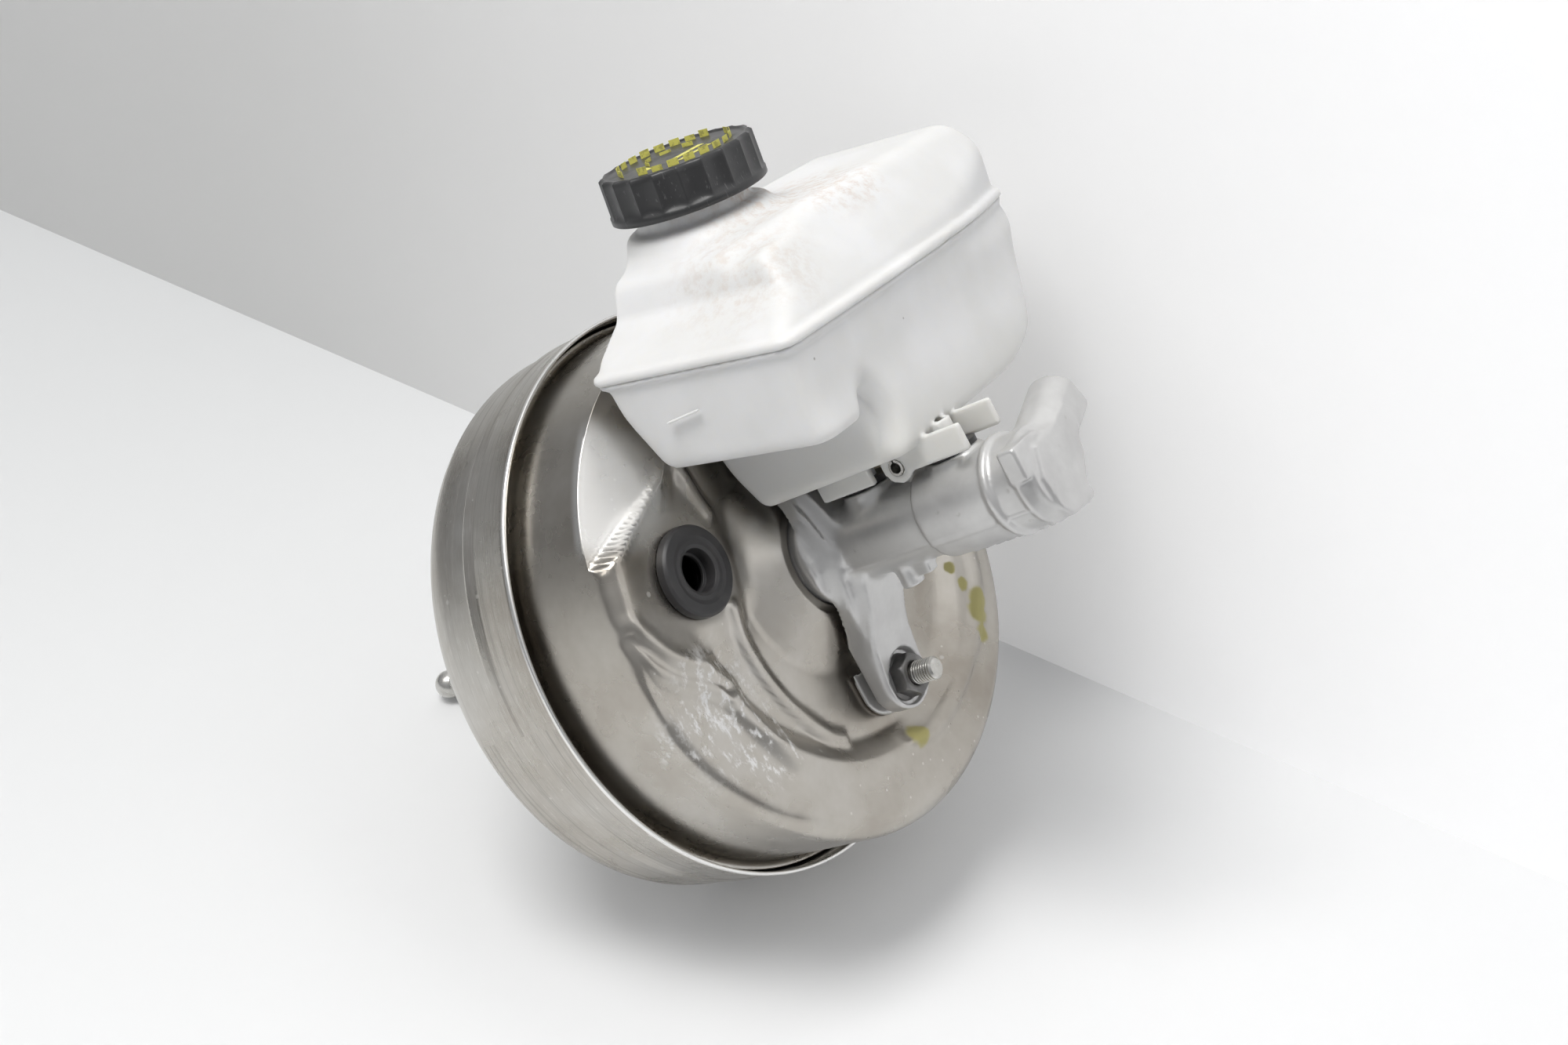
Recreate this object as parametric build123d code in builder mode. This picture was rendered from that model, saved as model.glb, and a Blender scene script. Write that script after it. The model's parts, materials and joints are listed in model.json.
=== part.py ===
"""Vacuum brake booster with tandem master cylinder and fluid reservoir.

All lengths are in millimetres. +X runs forward along the booster's axis, +Z is up.
The origin is the centre of the booster's rear mounting face.
"""
import os
from math import cos, radians, sin

from build123d import *

# Booster shells, revolved about the X axis -----------------------------------------
sheet = 1.8                  # thickness of both shells
lip_x = 66.0                 # front edge of the rear shell's lip
lip_r = 131.7                # outer radius of that edge
lip_flare = 2.7              # how much the band widens from back to front
band_r = lip_r - lip_flare   # outer radius at the back of the band
rear_shoulder_r = 19.0       # rounding between rear face and band
bead_shelf_x = 44.0          # step in the band that the diaphragm bead sits on
step_rise = 1.2              # how much the band widens at that step
collar_depth = 24.0          # drawn collar behind the rear face
collar_r = 25.8              # outer radius of that collar
rim_x = 58.0                 # front shell's rim, at the bottom of the groove
groove_width = 7.2           # from the lip's outside to the front shell's wall
wall_r = lip_r - groove_width
front_face_x = 118.0         # outer ring of the front face
front_shoulder_r = 8.0
valley_x = 113.0             # shallow ring that carries the tie bolts
valley_width = 30.0
valley_out = 17.0            # part of that width outside the tie bolts' circle
ring_slope = 10.0            # width of the slope from the outer ring to the valley
hub_x = 123.5                # front face of the hub
hub_r = 29.0
hub_neck_r = 24.0            # inner radius of the hub's inward neck
hub_neck_depth = 9.0

# Fasteners --------------------------------------------------------------------------
pcd = 130.0                  # rear studs and tie bolts share this circle
valley_outer_r = pcd / 2 + valley_out
valley_inner_r = valley_outer_r - valley_width
ring_inner_r = valley_outer_r + ring_slope
rear_thread_r = 4.0          # M8
pilot_r = 4.2                # plain length of a rear stud inside the sheets
pilot_clear = 0.1
rear_stud_length = 22.0
tie_shank_r = 5.0
front_thread_r = 5.0         # M10
tie_collar_r = 9.0
tie_collar_t = 4.0
bolt_clear = 0.3             # radial clearance of a fastener in its hole
stud_end_x = 146.0
nut_flats = 17.0
nut_height = 8.5
nut_washer_r = 10.5
nut_washer_t = 1.2
seal_ring_t = 2.0            # rubber ring under each front collar
seal_ring_r = 8.4
stiffener_t = 2.0
stiffener_r = 88.0
stiffener_hole_r = 42.0
rear_stud_head_r = 8.5
rear_stud_head_t = 3.0
stud_chamfer = 1.0
guide_groove_x = 3.0         # grease groove in the piston's guide
guide_groove_width = 2.0
guide_groove_depth = 1.0

# Vacuum grommet in the front shell ---------------------------------------------------
grommet_pitch_r = wall_r - 45.3
grommet_angle = 159.53       # from +Y towards +Z
grommet_y = grommet_pitch_r * cos(radians(grommet_angle))
grommet_z = grommet_pitch_r * sin(radians(grommet_angle))
grommet_r = 19.5
grommet_hole_r = 9.0
grommet_neck_r = 13.0
grommet_front_t = 5.5
grommet_back_t = 4.0
grommet_back_r = 16.0
grommet_seat_x = 117.0
grommet_seat_r = 24.0

# Motion -------------------------------------------------------------------------------
stroke = 32.0                # power piston and primary piston
secondary_stroke = 16.0
plunger_travel = 1.5
gap = 0.3                    # free gap between pieces of different bodies
fit = 0.05                   # radial running fit

# Power piston: valve body, plate and diaphragm ---------------------------------------
guide_front_x = -9.0
guide_length = 12.0
guide_back_x = guide_front_x - guide_length
valve_neck_r = 21.0
valve_neck_spare = 5.0       # neck left behind its guide at full stroke
valve_back_x = guide_back_x - stroke - valve_neck_spare
valve_front_x = 44.0
valve_front_r = 28.0
plate_x = 12.0               # rear face of the diaphragm plate
plate_t = 1.5
plate_rim_r = band_r - 17.0
plate_flat_r = plate_rim_r - 20.0
plate_rim_x = 32.0
valve_flange_r = 40.0
valve_flange_t = 5.0
rubber_t = 2.0
inner_bead_r = 27.0
inner_bead_back = 4.5
outer_bead_width = 7.2
filter_bore_r = 16.5
seat_bore_x = 0.0            # floor of the filter bore
valve_seat_r = 12.5
valve_seat_h = 5.5
plunger_r = 8.0
disc_seat_x = 30.0
disc_r = 14.0
disc_t = 8.0
rod_head_t = 5.5
rod_r = 6.0
rod_root = 4.0               # length of the taper behind the rod's head
rod_tip_x = 99.5
retainer_t = 1.2
retainer_r = 36.0
retainer_hole_r = 7.5
retainer_skirt = 6.0
return_wire_r = 1.8
return_coil_r = 32.0
return_turns = 6
spring_seat_inset = 2.8      # the spring ends on the cone behind the hub

# Valve parts ---------------------------------------------------------------------------
plunger_back_x = -6.0
plunger_front_x = 28.2
ball_x = 4.0                 # centre of the push rod's ball joint
ball_r = 5.5
socket_clear = 0.1
crimp_r = 4.7
crimp_t = 3.0
rod_neck_r = 3.6
key_x = 22.0
key_t = 2.5
key_half_gap = 5.3           # half the fork's slot
key_prong = 2.2
key_waist_r = 5.0            # plunger radius inside the fork
key_reach = 12.0
key_head_y = -28.5
key_bridge = 6.0
key_notch = 10.0
poppet_face_x = -9.0
poppet_face_t = 2.7
poppet_hole_r = 7.8
poppet_face_r = 15.0
poppet_tube_r = 13.8
poppet_wall = 1.2
poppet_flange_x = -22.0
poppet_flange_t = 2.0
poppet_cup_t = 1.5
poppet_cup_hole_r = 8.8
small_wire_r = 0.5
poppet_coil_r = 11.4
input_coil_r = 10.2
input_wire_r = 0.7
spring_collar_x = -46.0
spring_collar_r = 12.0
spring_collar_t = 2.0
filter_swing_gap = 1.2       # the collar tips by this much as the rod swings
filter_front_x = spring_collar_x - spring_collar_t - filter_swing_gap
filter_t = 7.0
filter_hole_r = 8.8
filter_cap_t = 1.5

# Push rod and boot ----------------------------------------------------------------------
push_rod_r = 4.75
push_rod_neck_end = -10.0
pedal_ball_x = -150.0
pedal_ball_r = 7.5
boot_wall = 1.5
boot_sleeve_front = -8.0
boot_sleeve_back = -22.0
boot_fold_r = 29.5
boot_root_r = 24.0
boot_folds = 4
boot_fold_pitch = 9.0
boot_tip_x = -100.0
boot_tip_length = 10.0

# Master cylinder -------------------------------------------------------------------------
spigot_back_x = 92.0
spigot_clear = 0.2
oring_x = 115.5
oring_width = 4.5
oring_groove = 3.6
arm_back_x = valley_x        # the arms sit on the shell's valley
arm_relief = 2.0             # keeps the arms clear of the shell's rounded cone
arm_front_x = 126.0
arm_front_flat_z = pcd / 2 - nut_washer_r - 0.5
flange_front_x = 139.0
flange_front_z = 36.0
arm_half_width = 14.0
hub_flange_r = 26.0
barrel_r = 18.0
front_barrel_x = 188.0       # the barrel is thicker in front of this
front_barrel_r = 20.5
barrel_end_x = 226.0
nose_r = 19.5
nose_end_x = 249.0
nose_edge_r = 1.2
bore_r = 12.7                # one inch bore
bore_end_x = 240.0
mouth_r = 15.0               # counterbore for the guide and the circlip
mouth_depth = 12.0
boss_r = 12.0
boss_top_z = 21.0
rear_inlet_x = 160.0
front_inlet_x = 206.5
inlet_r = 9.5
inlet_floor_z = 15.0
feed_hole_r = 1.5
port_boss_r = 10.0
port_thread_r = 5.45         # M12 x 1 core
port_depth = 14.0
front_port_r = 12.5          # boss of the front circuit's port
front_port_root = (237.8, -1.3, 3.3)
front_port_dir = (0, 0.93, 0.36)
front_port_length = 43.0
rear_port_x = 183.0
rear_port_z = 4.0
rear_port_end_y = 34.0
pad_y = -20.5                # small square pad on the near side of the nose
pad_x = 242.5
pad_z = 11.0
pad_length = 9.0
pad_height = 14.0
lug_x = 161.0                # small round lug under the barrel
lug_y = -5.0
lug_r = 5.0
lug_bottom_z = -25.5
pin_x = 188.6                # pin that holds the reservoir
pin_z = 26.0
pin_r = 3.4
pin_wall = 1.0
pin_half_length = 15.3
ear_r = 6.2
pin_lug_r = 7.0
ear_half_width = 6.0

# Pistons ------------------------------------------------------------------------------------
primary_back_x = 86.0
primary_front_x = 154.0
primary_socket_depth = 14.0
primary_socket_r = 8.5
primary_cavity_x = 118.0
primary_cavity_r = 8.6
piston_gap = 6.0             # left between the pistons at full stroke
secondary_back_x = primary_front_x + stroke - secondary_stroke + piston_gap
secondary_front_x = 204.0
secondary_cavity_x = 190.0
cup_width = 3.5
cup_depth = 2.4
cup_positions = (110.0, 147.0)
secondary_cup_positions = (180.0, 198.5)
piston_spring_coil_r = 6.9
piston_spring_wire_r = 1.1
piston_spring_turns = 7
guide_x = 97.0
guide_t = 7.0
circlip_x = 94.6
circlip_t = 1.4
circlip_groove_r = 16.2
circlip_in_r = 13.3
circlip_gap = 6.0

# Reservoir ------------------------------------------------------------------------------------
seam_x = 215.3               # point on the seam between the two halves
seam_z = 94.3
seam_fall = 0.18             # the seam falls this much per unit of X
res_length = 103.0
near_y = -72.0
far_y = 132.0
kink_y = 61.0                # the front edge bends back from here
kink_in = 6.0
far_kink_y = 104.0
far_in = 18.0
kink_r = 20.0
near_corner_r = 10.0
far_corner_r = 12.0
flange_t = 6.4
flange_out = 2.6
res_wall = 2.5
rear_top_x = 116.0           # deep section's rear wall, from the seam down to its foot
rear_knee_x = 117.0
rear_knee_z = 57.0
rear_foot_x = 127.0
deep_near_y = -30.0
deep_bottom_z = 32.5
floor_end_y = 60.0           # the floor rises from here to the far wall
far_bend_y = 95.0
far_bend_z = 40.0
far_top_in = 3.0
far_top_z = 78.0
wing_depth = 38.5
wing_inner_y = -26.0
wing_foot_x = 132.0
corner_r = 5.0
tunnel_half = 22.0           # channel over the upper tie bolt
tunnel_x = 153.0
tunnel_z = 87.0
skirt_crease_y = -39.0
skirt_crease_h = 22.0
roof_near_y = -20.0
roof_h = 38.0
roof_far_in = 12.0
roof_far_h = 14.0
skirt_foot_h = 4.0
brow_in = 6.0                # the roof slopes down to this brow above the front edge
brow_h = 12.0
roof_front_u = -26.0
shell_gap = 1.6              # between the reservoir and the booster's front
rail_y = 15.0
rail_t = 3.0
rail_z = 22.0
rear_rail = (146.0, 175.0)
front_rail = (194.0, 225.0)
spout_r = 5.4
spout_hole_r = 3.2
spout_end_z = 16.5
bush_flange_t = 2.5
bush_flange_r = 11.0

# Filler neck and cap -----------------------------------------------------------------------------
cap_top = (150.0, 2.0, 177.4)
cap_axis = (0.225, -0.05, 0.973)
cap_height = 18.0
cap_r = 33.0
cap_top_t = 2.6
cap_bore_r = 27.0
cap_chamfer = 1.2
cap_skirt_h = 2.5
cap_flutes = 20
flute_r = 3.0
flute_depth = 1.0
neck_r = 25.0
neck_hole_r = 22.0
neck_length = 32.0
strainer_rim_t = 1.5
seal_t = 2.0
seal_slack = 0.1             # lets the cap turn on its seal
strainer_r = 21.6
strainer_depth = 26.0
strainer_wall = 1.0
strainer_slots = 12
strainer_slot_z = 3.0
strainer_slot_w = 5.0
strainer_slot_h = 14.0
float_x = 178.0
float_y = 78.0
float_r = 13.0
float_hole_r = 4.0
float_t = 14.0
float_travel = 22.0
float_floor_gap = 13.0       # under the float at the end of its travel
float_top_z = deep_bottom_z + res_wall + float_floor_gap + float_travel + float_t
post_r = 3.95

parts = []


def ring(x0, x1, r_in, r_out):
    """Profile of a ring about the X axis."""
    with BuildSketch() as profile:
        with BuildLine():
            Polyline((x0, r_in), (x1, r_in), (x1, r_out), (x0, r_out), close=True)
        make_face()
    return profile.sketch


def band(points, radii, thickness, side=Side.RIGHT):
    """Profile of a strip of constant thickness along a rounded path."""
    with BuildSketch() as profile:
        with BuildLine():
            path = FilletPolyline(points, radius=radii)
            offset(path, amount=thickness, side=side)
        make_face()
    return profile.sketch


def bolt_circle(radius, angles):
    """Points (y, z) on a circle about the X axis."""
    return [(radius * cos(radians(a)), radius * sin(radians(a))) for a in angles]


def coil(x0, x1, coil_r, wire_r, turns):
    """Round-wire helical spring about the X axis, between the faces x0 and x1."""
    height = x1 - x0 - 2 * wire_r
    start = x0 + wire_r
    with BuildPart() as spring:
        helix = Helix(height / turns, height, coil_r, center=(start, 0, 0), direction=(1, 0, 0))
        with BuildSketch(Plane(origin=helix @ 0, z_dir=helix % 0)):
            Circle(wire_r)
        sweep(path=helix, is_frenet=True)
    return spring.part


def finish(part, name):
    """Label a finished piece and write its STEP file."""
    part.label = name
    parts.append(part)
    export_step(part, f"parts/{name}.step")


os.makedirs("parts", exist_ok=True)

# Casing -----------------------------------------------------------------------------------

tie_points = bolt_circle(pcd / 2, (90, 270))
stud_points = bolt_circle(pcd / 2, (0, 180))
front_plane = Plane.YZ       # sketches on it are seen from the front, (y, z)

with BuildPart() as rear_shell:
    revolve(band([(-collar_depth, collar_r), (0, collar_r), (0, band_r), (bead_shelf_x, band_r),
                  (bead_shelf_x + step_rise, band_r + step_rise), (lip_x, lip_r)],
                 [2, rear_shoulder_r, 1, 1], sheet), axis=Axis.X)
    with BuildSketch(front_plane.offset(-1)):
        with Locations(*tie_points, *stud_points):
            Circle(pilot_r + pilot_clear)
    extrude(amount=sheet + 2, mode=Mode.SUBTRACT)
finish(rear_shell.part, "rear_shell")

with BuildPart() as front_shell:
    revolve(band([(rim_x, band_r + step_rise - sheet - gap), (rim_x, wall_r), (front_face_x, wall_r),
                  (front_face_x, ring_inner_r), (valley_x, valley_outer_r), (valley_x, valley_inner_r),
                  (hub_x, hub_r), (hub_x, hub_neck_r), (hub_x - hub_neck_depth, hub_neck_r)],
                 [3, front_shoulder_r, 6, 8, 10, 3, 2.2], sheet, Side.LEFT), axis=Axis.X)
    with BuildSketch(front_plane.offset(valley_x - sheet - 2)):
        with Locations((grommet_y, grommet_z)):
            Circle(grommet_seat_r - sheet)
    extrude(amount=front_face_x - valley_x + sheet + 4, mode=Mode.SUBTRACT)
    with BuildSketch(front_plane.offset(valley_x - sheet)):
        with Locations((grommet_y, grommet_z)):
            Circle(grommet_seat_r)
            Circle(grommet_seat_r - sheet, mode=Mode.SUBTRACT)
    extrude(amount=grommet_seat_x - valley_x + sheet)
    with BuildSketch(front_plane.offset(grommet_seat_x - sheet)):
        with Locations((grommet_y, grommet_z)):
            Circle(grommet_seat_r - sheet / 2)
            Circle(grommet_neck_r, mode=Mode.SUBTRACT)
    extrude(amount=sheet)
    with BuildSketch(front_plane.offset(valley_x - sheet - 1)):
        with Locations(*tie_points):
            Circle(front_thread_r + bolt_clear)
    extrude(amount=sheet + 2, mode=Mode.SUBTRACT)
finish(front_shell.part, "front_shell")

with BuildPart() as rear_stiffener:
    with BuildSketch(front_plane.offset(sheet)):
        Circle(stiffener_r)
        Circle(stiffener_hole_r, mode=Mode.SUBTRACT)
        with Locations(*tie_points, *stud_points):
            Circle(pilot_r + pilot_clear, mode=Mode.SUBTRACT)
    extrude(amount=stiffener_t)
finish(rear_stiffener.part, "rear_stiffener")

collar_back_x = sheet + stiffener_t
collar_front_x = valley_x - sheet - seal_ring_t

with BuildPart() as tie_bolts:
    for y, z in tie_points:
        with BuildSketch(front_plane.offset(-rear_stud_length)):
            with Locations((y, z)):
                Circle(rear_thread_r)
        extrude(amount=rear_stud_length)
        with BuildSketch(front_plane):
            with Locations((y, z)):
                Circle(pilot_r)
        extrude(amount=collar_back_x)
        with BuildSketch(front_plane.offset(collar_back_x)):
            with Locations((y, z)):
                Circle(tie_collar_r)
        extrude(amount=tie_collar_t)
        with BuildSketch(front_plane.offset(collar_back_x)):
            with Locations((y, z)):
                Circle(tie_shank_r)
        extrude(amount=collar_front_x - collar_back_x)
        with BuildSketch(front_plane.offset(collar_front_x - tie_collar_t)):
            with Locations((y, z)):
                Circle(tie_collar_r)
        extrude(amount=tie_collar_t)
        with BuildSketch(front_plane.offset(collar_front_x)):
            with Locations((y, z)):
                Circle(front_thread_r)
        extrude(amount=stud_end_x - collar_front_x)
    chamfer(tie_bolts.faces().sort_by(Axis.X)[:2].edges(), stud_chamfer)
    chamfer(tie_bolts.faces().sort_by(Axis.X)[-2:].edges(), stud_chamfer)
finish(tie_bolts.part, "tie_bolts")

with BuildPart() as tie_bolt_nuts:
    with BuildSketch(front_plane.offset(arm_front_x)):
        with Locations(*tie_points):
            Circle(nut_washer_r)
    extrude(amount=nut_washer_t)
    with BuildSketch(front_plane.offset(arm_front_x + nut_washer_t)):
        with Locations(*tie_points):
            RegularPolygon(nut_flats / 2, 6, major_radius=False, rotation=30)
    extrude(amount=nut_height - nut_washer_t)
    with BuildSketch(front_plane.offset(arm_front_x)):
        with Locations(*tie_points):
            Circle(front_thread_r)
    extrude(amount=nut_height, mode=Mode.SUBTRACT)
finish(tie_bolt_nuts.part, "tie_bolt_nuts")

with BuildPart() as rear_studs:
    with BuildSketch(front_plane.offset(-rear_stud_length)):
        with Locations(*stud_points):
            Circle(rear_thread_r)
    extrude(amount=rear_stud_length)
    with BuildSketch(front_plane):
        with Locations(*stud_points):
            Circle(pilot_r)
    extrude(amount=collar_back_x)
    with BuildSketch(front_plane.offset(collar_back_x)):
        with Locations(*stud_points):
            Circle(rear_stud_head_r)
    extrude(amount=rear_stud_head_t)
    chamfer(rear_studs.faces().sort_by(Axis.X)[:2].edges(), stud_chamfer)
finish(rear_studs.part, "rear_studs")

with BuildPart() as tie_bolt_orings:
    with BuildSketch(front_plane.offset(collar_front_x)):
        with Locations(*tie_points):
            Circle(seal_ring_r)
            Circle(front_thread_r, mode=Mode.SUBTRACT)
    extrude(amount=seal_ring_t)
finish(tie_bolt_orings.part, "tie_bolt_orings")

grommet_plane = Plane(origin=(0, grommet_y, grommet_z), x_dir=(1, 0, 0), z_dir=(0, 0, 1))
grommet_axis = Axis((0, grommet_y, grommet_z), (1, 0, 0))
grommet_front = grommet_seat_x + grommet_front_t
grommet_back = grommet_seat_x - sheet - grommet_back_t

with BuildPart() as vacuum_grommet:
    with BuildSketch(grommet_plane):
        with BuildLine():
            Polyline((grommet_back, grommet_hole_r), (grommet_front, grommet_hole_r),
                     (grommet_front, grommet_r - 2), (grommet_front - 2, grommet_r),
                     (grommet_seat_x, grommet_r), (grommet_seat_x, grommet_neck_r),
                     (grommet_seat_x - sheet, grommet_neck_r),
                     (grommet_seat_x - sheet, grommet_back_r),
                     (grommet_back, grommet_back_r - 2), close=True)
        make_face()
    revolve(axis=grommet_axis)
finish(vacuum_grommet.part, "vacuum_grommet")

with BuildPart() as guide_seal:
    revolve(ring(guide_back_x, guide_front_x, valve_neck_r + fit, collar_r - sheet), axis=Axis.X)
    revolve(ring(guide_back_x + guide_groove_x, guide_back_x + guide_groove_x + guide_groove_width,
                 valve_neck_r, valve_neck_r + guide_groove_depth), axis=Axis.X, mode=Mode.SUBTRACT)
finish(guide_seal.part, "guide_seal")

# Power piston --------------------------------------------------------------------------------

valve_flange_x = plate_x + plate_t
sleeve_r = tie_collar_r
sleeve_length = 14.0
sleeve_collar_w = 2.0
sleeve_collar_t = 2.5
bore_fit_r = plunger_r + fit
key_slot = key_half_gap + key_prong

with BuildPart() as diaphragm_plate:
    revolve(band([(plate_x, valve_neck_r), (plate_x, plate_flat_r), (plate_rim_x - 6, plate_rim_r),
                  (plate_rim_x, plate_rim_r)], [6, 4], plate_t), axis=Axis.X)
    with BuildSketch(front_plane.offset(plate_x - 1)):
        with Locations(*tie_points):
            Circle(sleeve_r)
    extrude(amount=plate_t + 2, mode=Mode.SUBTRACT)
finish(diaphragm_plate.part, "diaphragm_plate")

bead_back_x = bead_shelf_x + step_rise
bead_front_x = rim_x - sheet
outer_bead_r = band_r - sheet
bead_root = 4.0              # the rolling fold leaves the bead here
diaphragm_x = plate_x - gap

with BuildPart() as diaphragm:
    revolve(band([(diaphragm_x, valve_neck_r + 3), (diaphragm_x, plate_flat_r),
                  (plate_rim_x - 6, plate_rim_r + gap), (plate_rim_x, plate_rim_r + gap),
                  (bead_back_x + bead_root, outer_bead_r - outer_bead_width + 1)],
                 [6, 4, 4], rubber_t, Side.LEFT), axis=Axis.X)
    revolve(ring(diaphragm_x - rubber_t - inner_bead_back, diaphragm_x,
                 valve_neck_r + gap, inner_bead_r), axis=Axis.X)
    revolve(ring(bead_back_x, bead_front_x, outer_bead_r - outer_bead_width, outer_bead_r), axis=Axis.X)
    with BuildSketch(front_plane):
        with Locations(*tie_points):
            Circle(sleeve_r + gap)
    extrude(amount=plate_x, mode=Mode.SUBTRACT)
finish(diaphragm.part, "diaphragm")

with BuildPart() as tie_bolt_sleeves:
    for y, z in tie_points:
        with BuildSketch(front_plane.offset(diaphragm_x - rubber_t)):
            with Locations((y, z)):
                Circle(sleeve_r)
        extrude(amount=sleeve_length)
        with BuildSketch(front_plane.offset(valve_flange_x)):
            with Locations((y, z)):
                Circle(sleeve_r + sleeve_collar_w)
        extrude(amount=sleeve_collar_t)
        with BuildSketch(front_plane.offset(diaphragm_x - rubber_t)):
            with Locations((y, z)):
                Circle(tie_shank_r + gap)
        extrude(amount=sleeve_length, mode=Mode.SUBTRACT)
finish(tie_bolt_sleeves.part, "tie_bolt_sleeves")

with BuildPart() as valve_body:
    revolve(ring(valve_back_x, valve_flange_x, bore_fit_r, valve_neck_r), axis=Axis.X)
    revolve(ring(valve_flange_x, valve_flange_x + valve_flange_t, bore_fit_r, valve_flange_r), axis=Axis.X)
    revolve(ring(valve_flange_x + valve_flange_t, valve_front_x, bore_fit_r, valve_front_r), axis=Axis.X)
    revolve(ring(valve_back_x, seat_bore_x, 0, filter_bore_r), axis=Axis.X, mode=Mode.SUBTRACT)
    revolve(ring(seat_bore_x - valve_seat_h, seat_bore_x, valve_seat_r - 1.2, valve_seat_r + 0.6),
            axis=Axis.X)
    revolve(ring(disc_seat_x, valve_front_x, 0, disc_r), axis=Axis.X, mode=Mode.SUBTRACT)
    with BuildSketch(front_plane.offset(key_x)):
        with Locations((key_head_y, 0)):
            Rectangle(key_reach - key_head_y + 1, 2 * key_slot, align=(Align.MIN, Align.CENTER))
        with Locations((-valve_front_r, 0)):
            Rectangle(key_notch, 2 * key_slot, align=(Align.CENTER, Align.CENTER))
    extrude(amount=key_t, mode=Mode.SUBTRACT)
    chamfer(valve_body.edges().filter_by(GeomType.CIRCLE).sort_by(Axis.X)[:1], 0.8)
finish(valve_body.part, "valve_body")

with BuildPart() as stop_key:
    with BuildSketch(front_plane.offset(key_x)):
        with Locations((key_head_y, 0)):
            Rectangle(key_reach - key_head_y, 2 * key_slot, align=(Align.MIN, Align.CENTER))
        with Locations((key_head_y + key_bridge, 0)):
            Rectangle(key_reach - key_head_y, 2 * key_half_gap, align=(Align.MIN, Align.CENTER),
                      mode=Mode.SUBTRACT)
    extrude(amount=key_t)
finish(stop_key.part, "stop_key")

with BuildPart() as reaction_disc:
    revolve(ring(disc_seat_x, disc_seat_x + disc_t, 0, disc_r), axis=Axis.X)
finish(reaction_disc.part, "reaction_disc")

rod_head_x = disc_seat_x + disc_t

with BuildPart() as output_rod:
    with BuildSketch():
        with BuildLine():
            Polyline((rod_tip_x - rod_r, rod_r), (rod_head_x + rod_head_t + rod_root, rod_r),
                     (rod_head_x + rod_head_t, retainer_hole_r - gap), (rod_head_x + rod_head_t, disc_r),
                     (rod_head_x, disc_r), (rod_head_x, 0), (rod_tip_x, 0))
            RadiusArc((rod_tip_x, 0), (rod_tip_x - rod_r, rod_r), -rod_r)
        make_face()
    revolve(axis=Axis.X)
finish(output_rod.part, "output_rod")

with BuildPart() as rod_retainer:
    revolve(ring(valve_front_x, valve_front_x + retainer_t, retainer_hole_r, retainer_r), axis=Axis.X)
    revolve(ring(valve_front_x - retainer_skirt, valve_front_x, valve_front_r,
                 valve_front_r + retainer_t), axis=Axis.X)
finish(rod_retainer.part, "rod_retainer")

spring_seat_x = valve_front_x + retainer_t
return_spring = coil(spring_seat_x, hub_x - sheet - spring_seat_inset, return_coil_r, return_wire_r,
                     return_turns)
finish(return_spring, "return_spring")

# Valve -------------------------------------------------------------------------------------------

mouth_x = plunger_back_x + crimp_t
socket_r = ball_r + socket_clear

with BuildPart() as valve_plunger:
    revolve(ring(plunger_back_x, plunger_front_x, 0, plunger_r), axis=Axis.X)
    revolve(ring(key_x - plunger_travel - gap, key_x + key_t + gap, key_waist_r, plunger_r),
            axis=Axis.X, mode=Mode.SUBTRACT)
    revolve(ring(plunger_back_x, plunger_back_x + 1.5, plunger_r - 1, valve_seat_r - 2), axis=Axis.X)
    revolve(ring(mouth_x, ball_x, 0, socket_r), axis=Axis.X, mode=Mode.SUBTRACT)
    revolve(ring(plunger_back_x, mouth_x, 0, crimp_r), axis=Axis.X, mode=Mode.SUBTRACT)
    with Locations((ball_x, 0, 0)):
        Sphere(socket_r, mode=Mode.SUBTRACT)
finish(valve_plunger.part, "valve_plunger")

with BuildPart() as pedal_pushrod:
    with Locations((ball_x, 0, 0)):
        Sphere(ball_r)
    revolve(ring(push_rod_neck_end, ball_x, 0, rod_neck_r), axis=Axis.X)
    revolve(ring(pedal_ball_x, push_rod_neck_end, 0, push_rod_r), axis=Axis.X)
    revolve(ring(spring_collar_x - spring_collar_t, spring_collar_x, 0, spring_collar_r), axis=Axis.X)
    with Locations((pedal_ball_x, 0, 0)):
        Sphere(pedal_ball_r)
finish(pedal_pushrod.part, "pedal_pushrod")

with BuildPart() as poppet_valve:
    revolve(ring(poppet_face_x, poppet_face_x + poppet_face_t, poppet_hole_r, poppet_face_r), axis=Axis.X)
    revolve(ring(poppet_flange_x, poppet_face_x, poppet_tube_r - poppet_wall, poppet_tube_r), axis=Axis.X)
    revolve(ring(poppet_flange_x, poppet_flange_x + poppet_flange_t, poppet_tube_r, filter_bore_r),
            axis=Axis.X)
finish(poppet_valve.part, "poppet_valve")

poppet_cup_back = poppet_flange_x - poppet_cup_t

with BuildPart() as poppet_retainer:
    revolve(ring(poppet_cup_back, poppet_flange_x, poppet_cup_hole_r, filter_bore_r), axis=Axis.X)
    revolve(ring(poppet_cup_back - 4, poppet_cup_back, filter_bore_r - poppet_cup_t, filter_bore_r),
            axis=Axis.X)
finish(poppet_retainer.part, "poppet_retainer")

poppet_spring = coil(poppet_flange_x, poppet_face_x, poppet_coil_r, small_wire_r, 4)
finish(poppet_spring, "poppet_spring")

input_rod_spring = coil(spring_collar_x + gap, poppet_cup_back, input_coil_r, input_wire_r, 5)
finish(input_rod_spring, "input_rod_spring")

filter_back_x = filter_front_x - filter_t

with BuildPart() as air_filter:
    revolve(ring(filter_back_x, filter_front_x, filter_hole_r, filter_bore_r), axis=Axis.X)
finish(air_filter.part, "air_filter")

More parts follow.
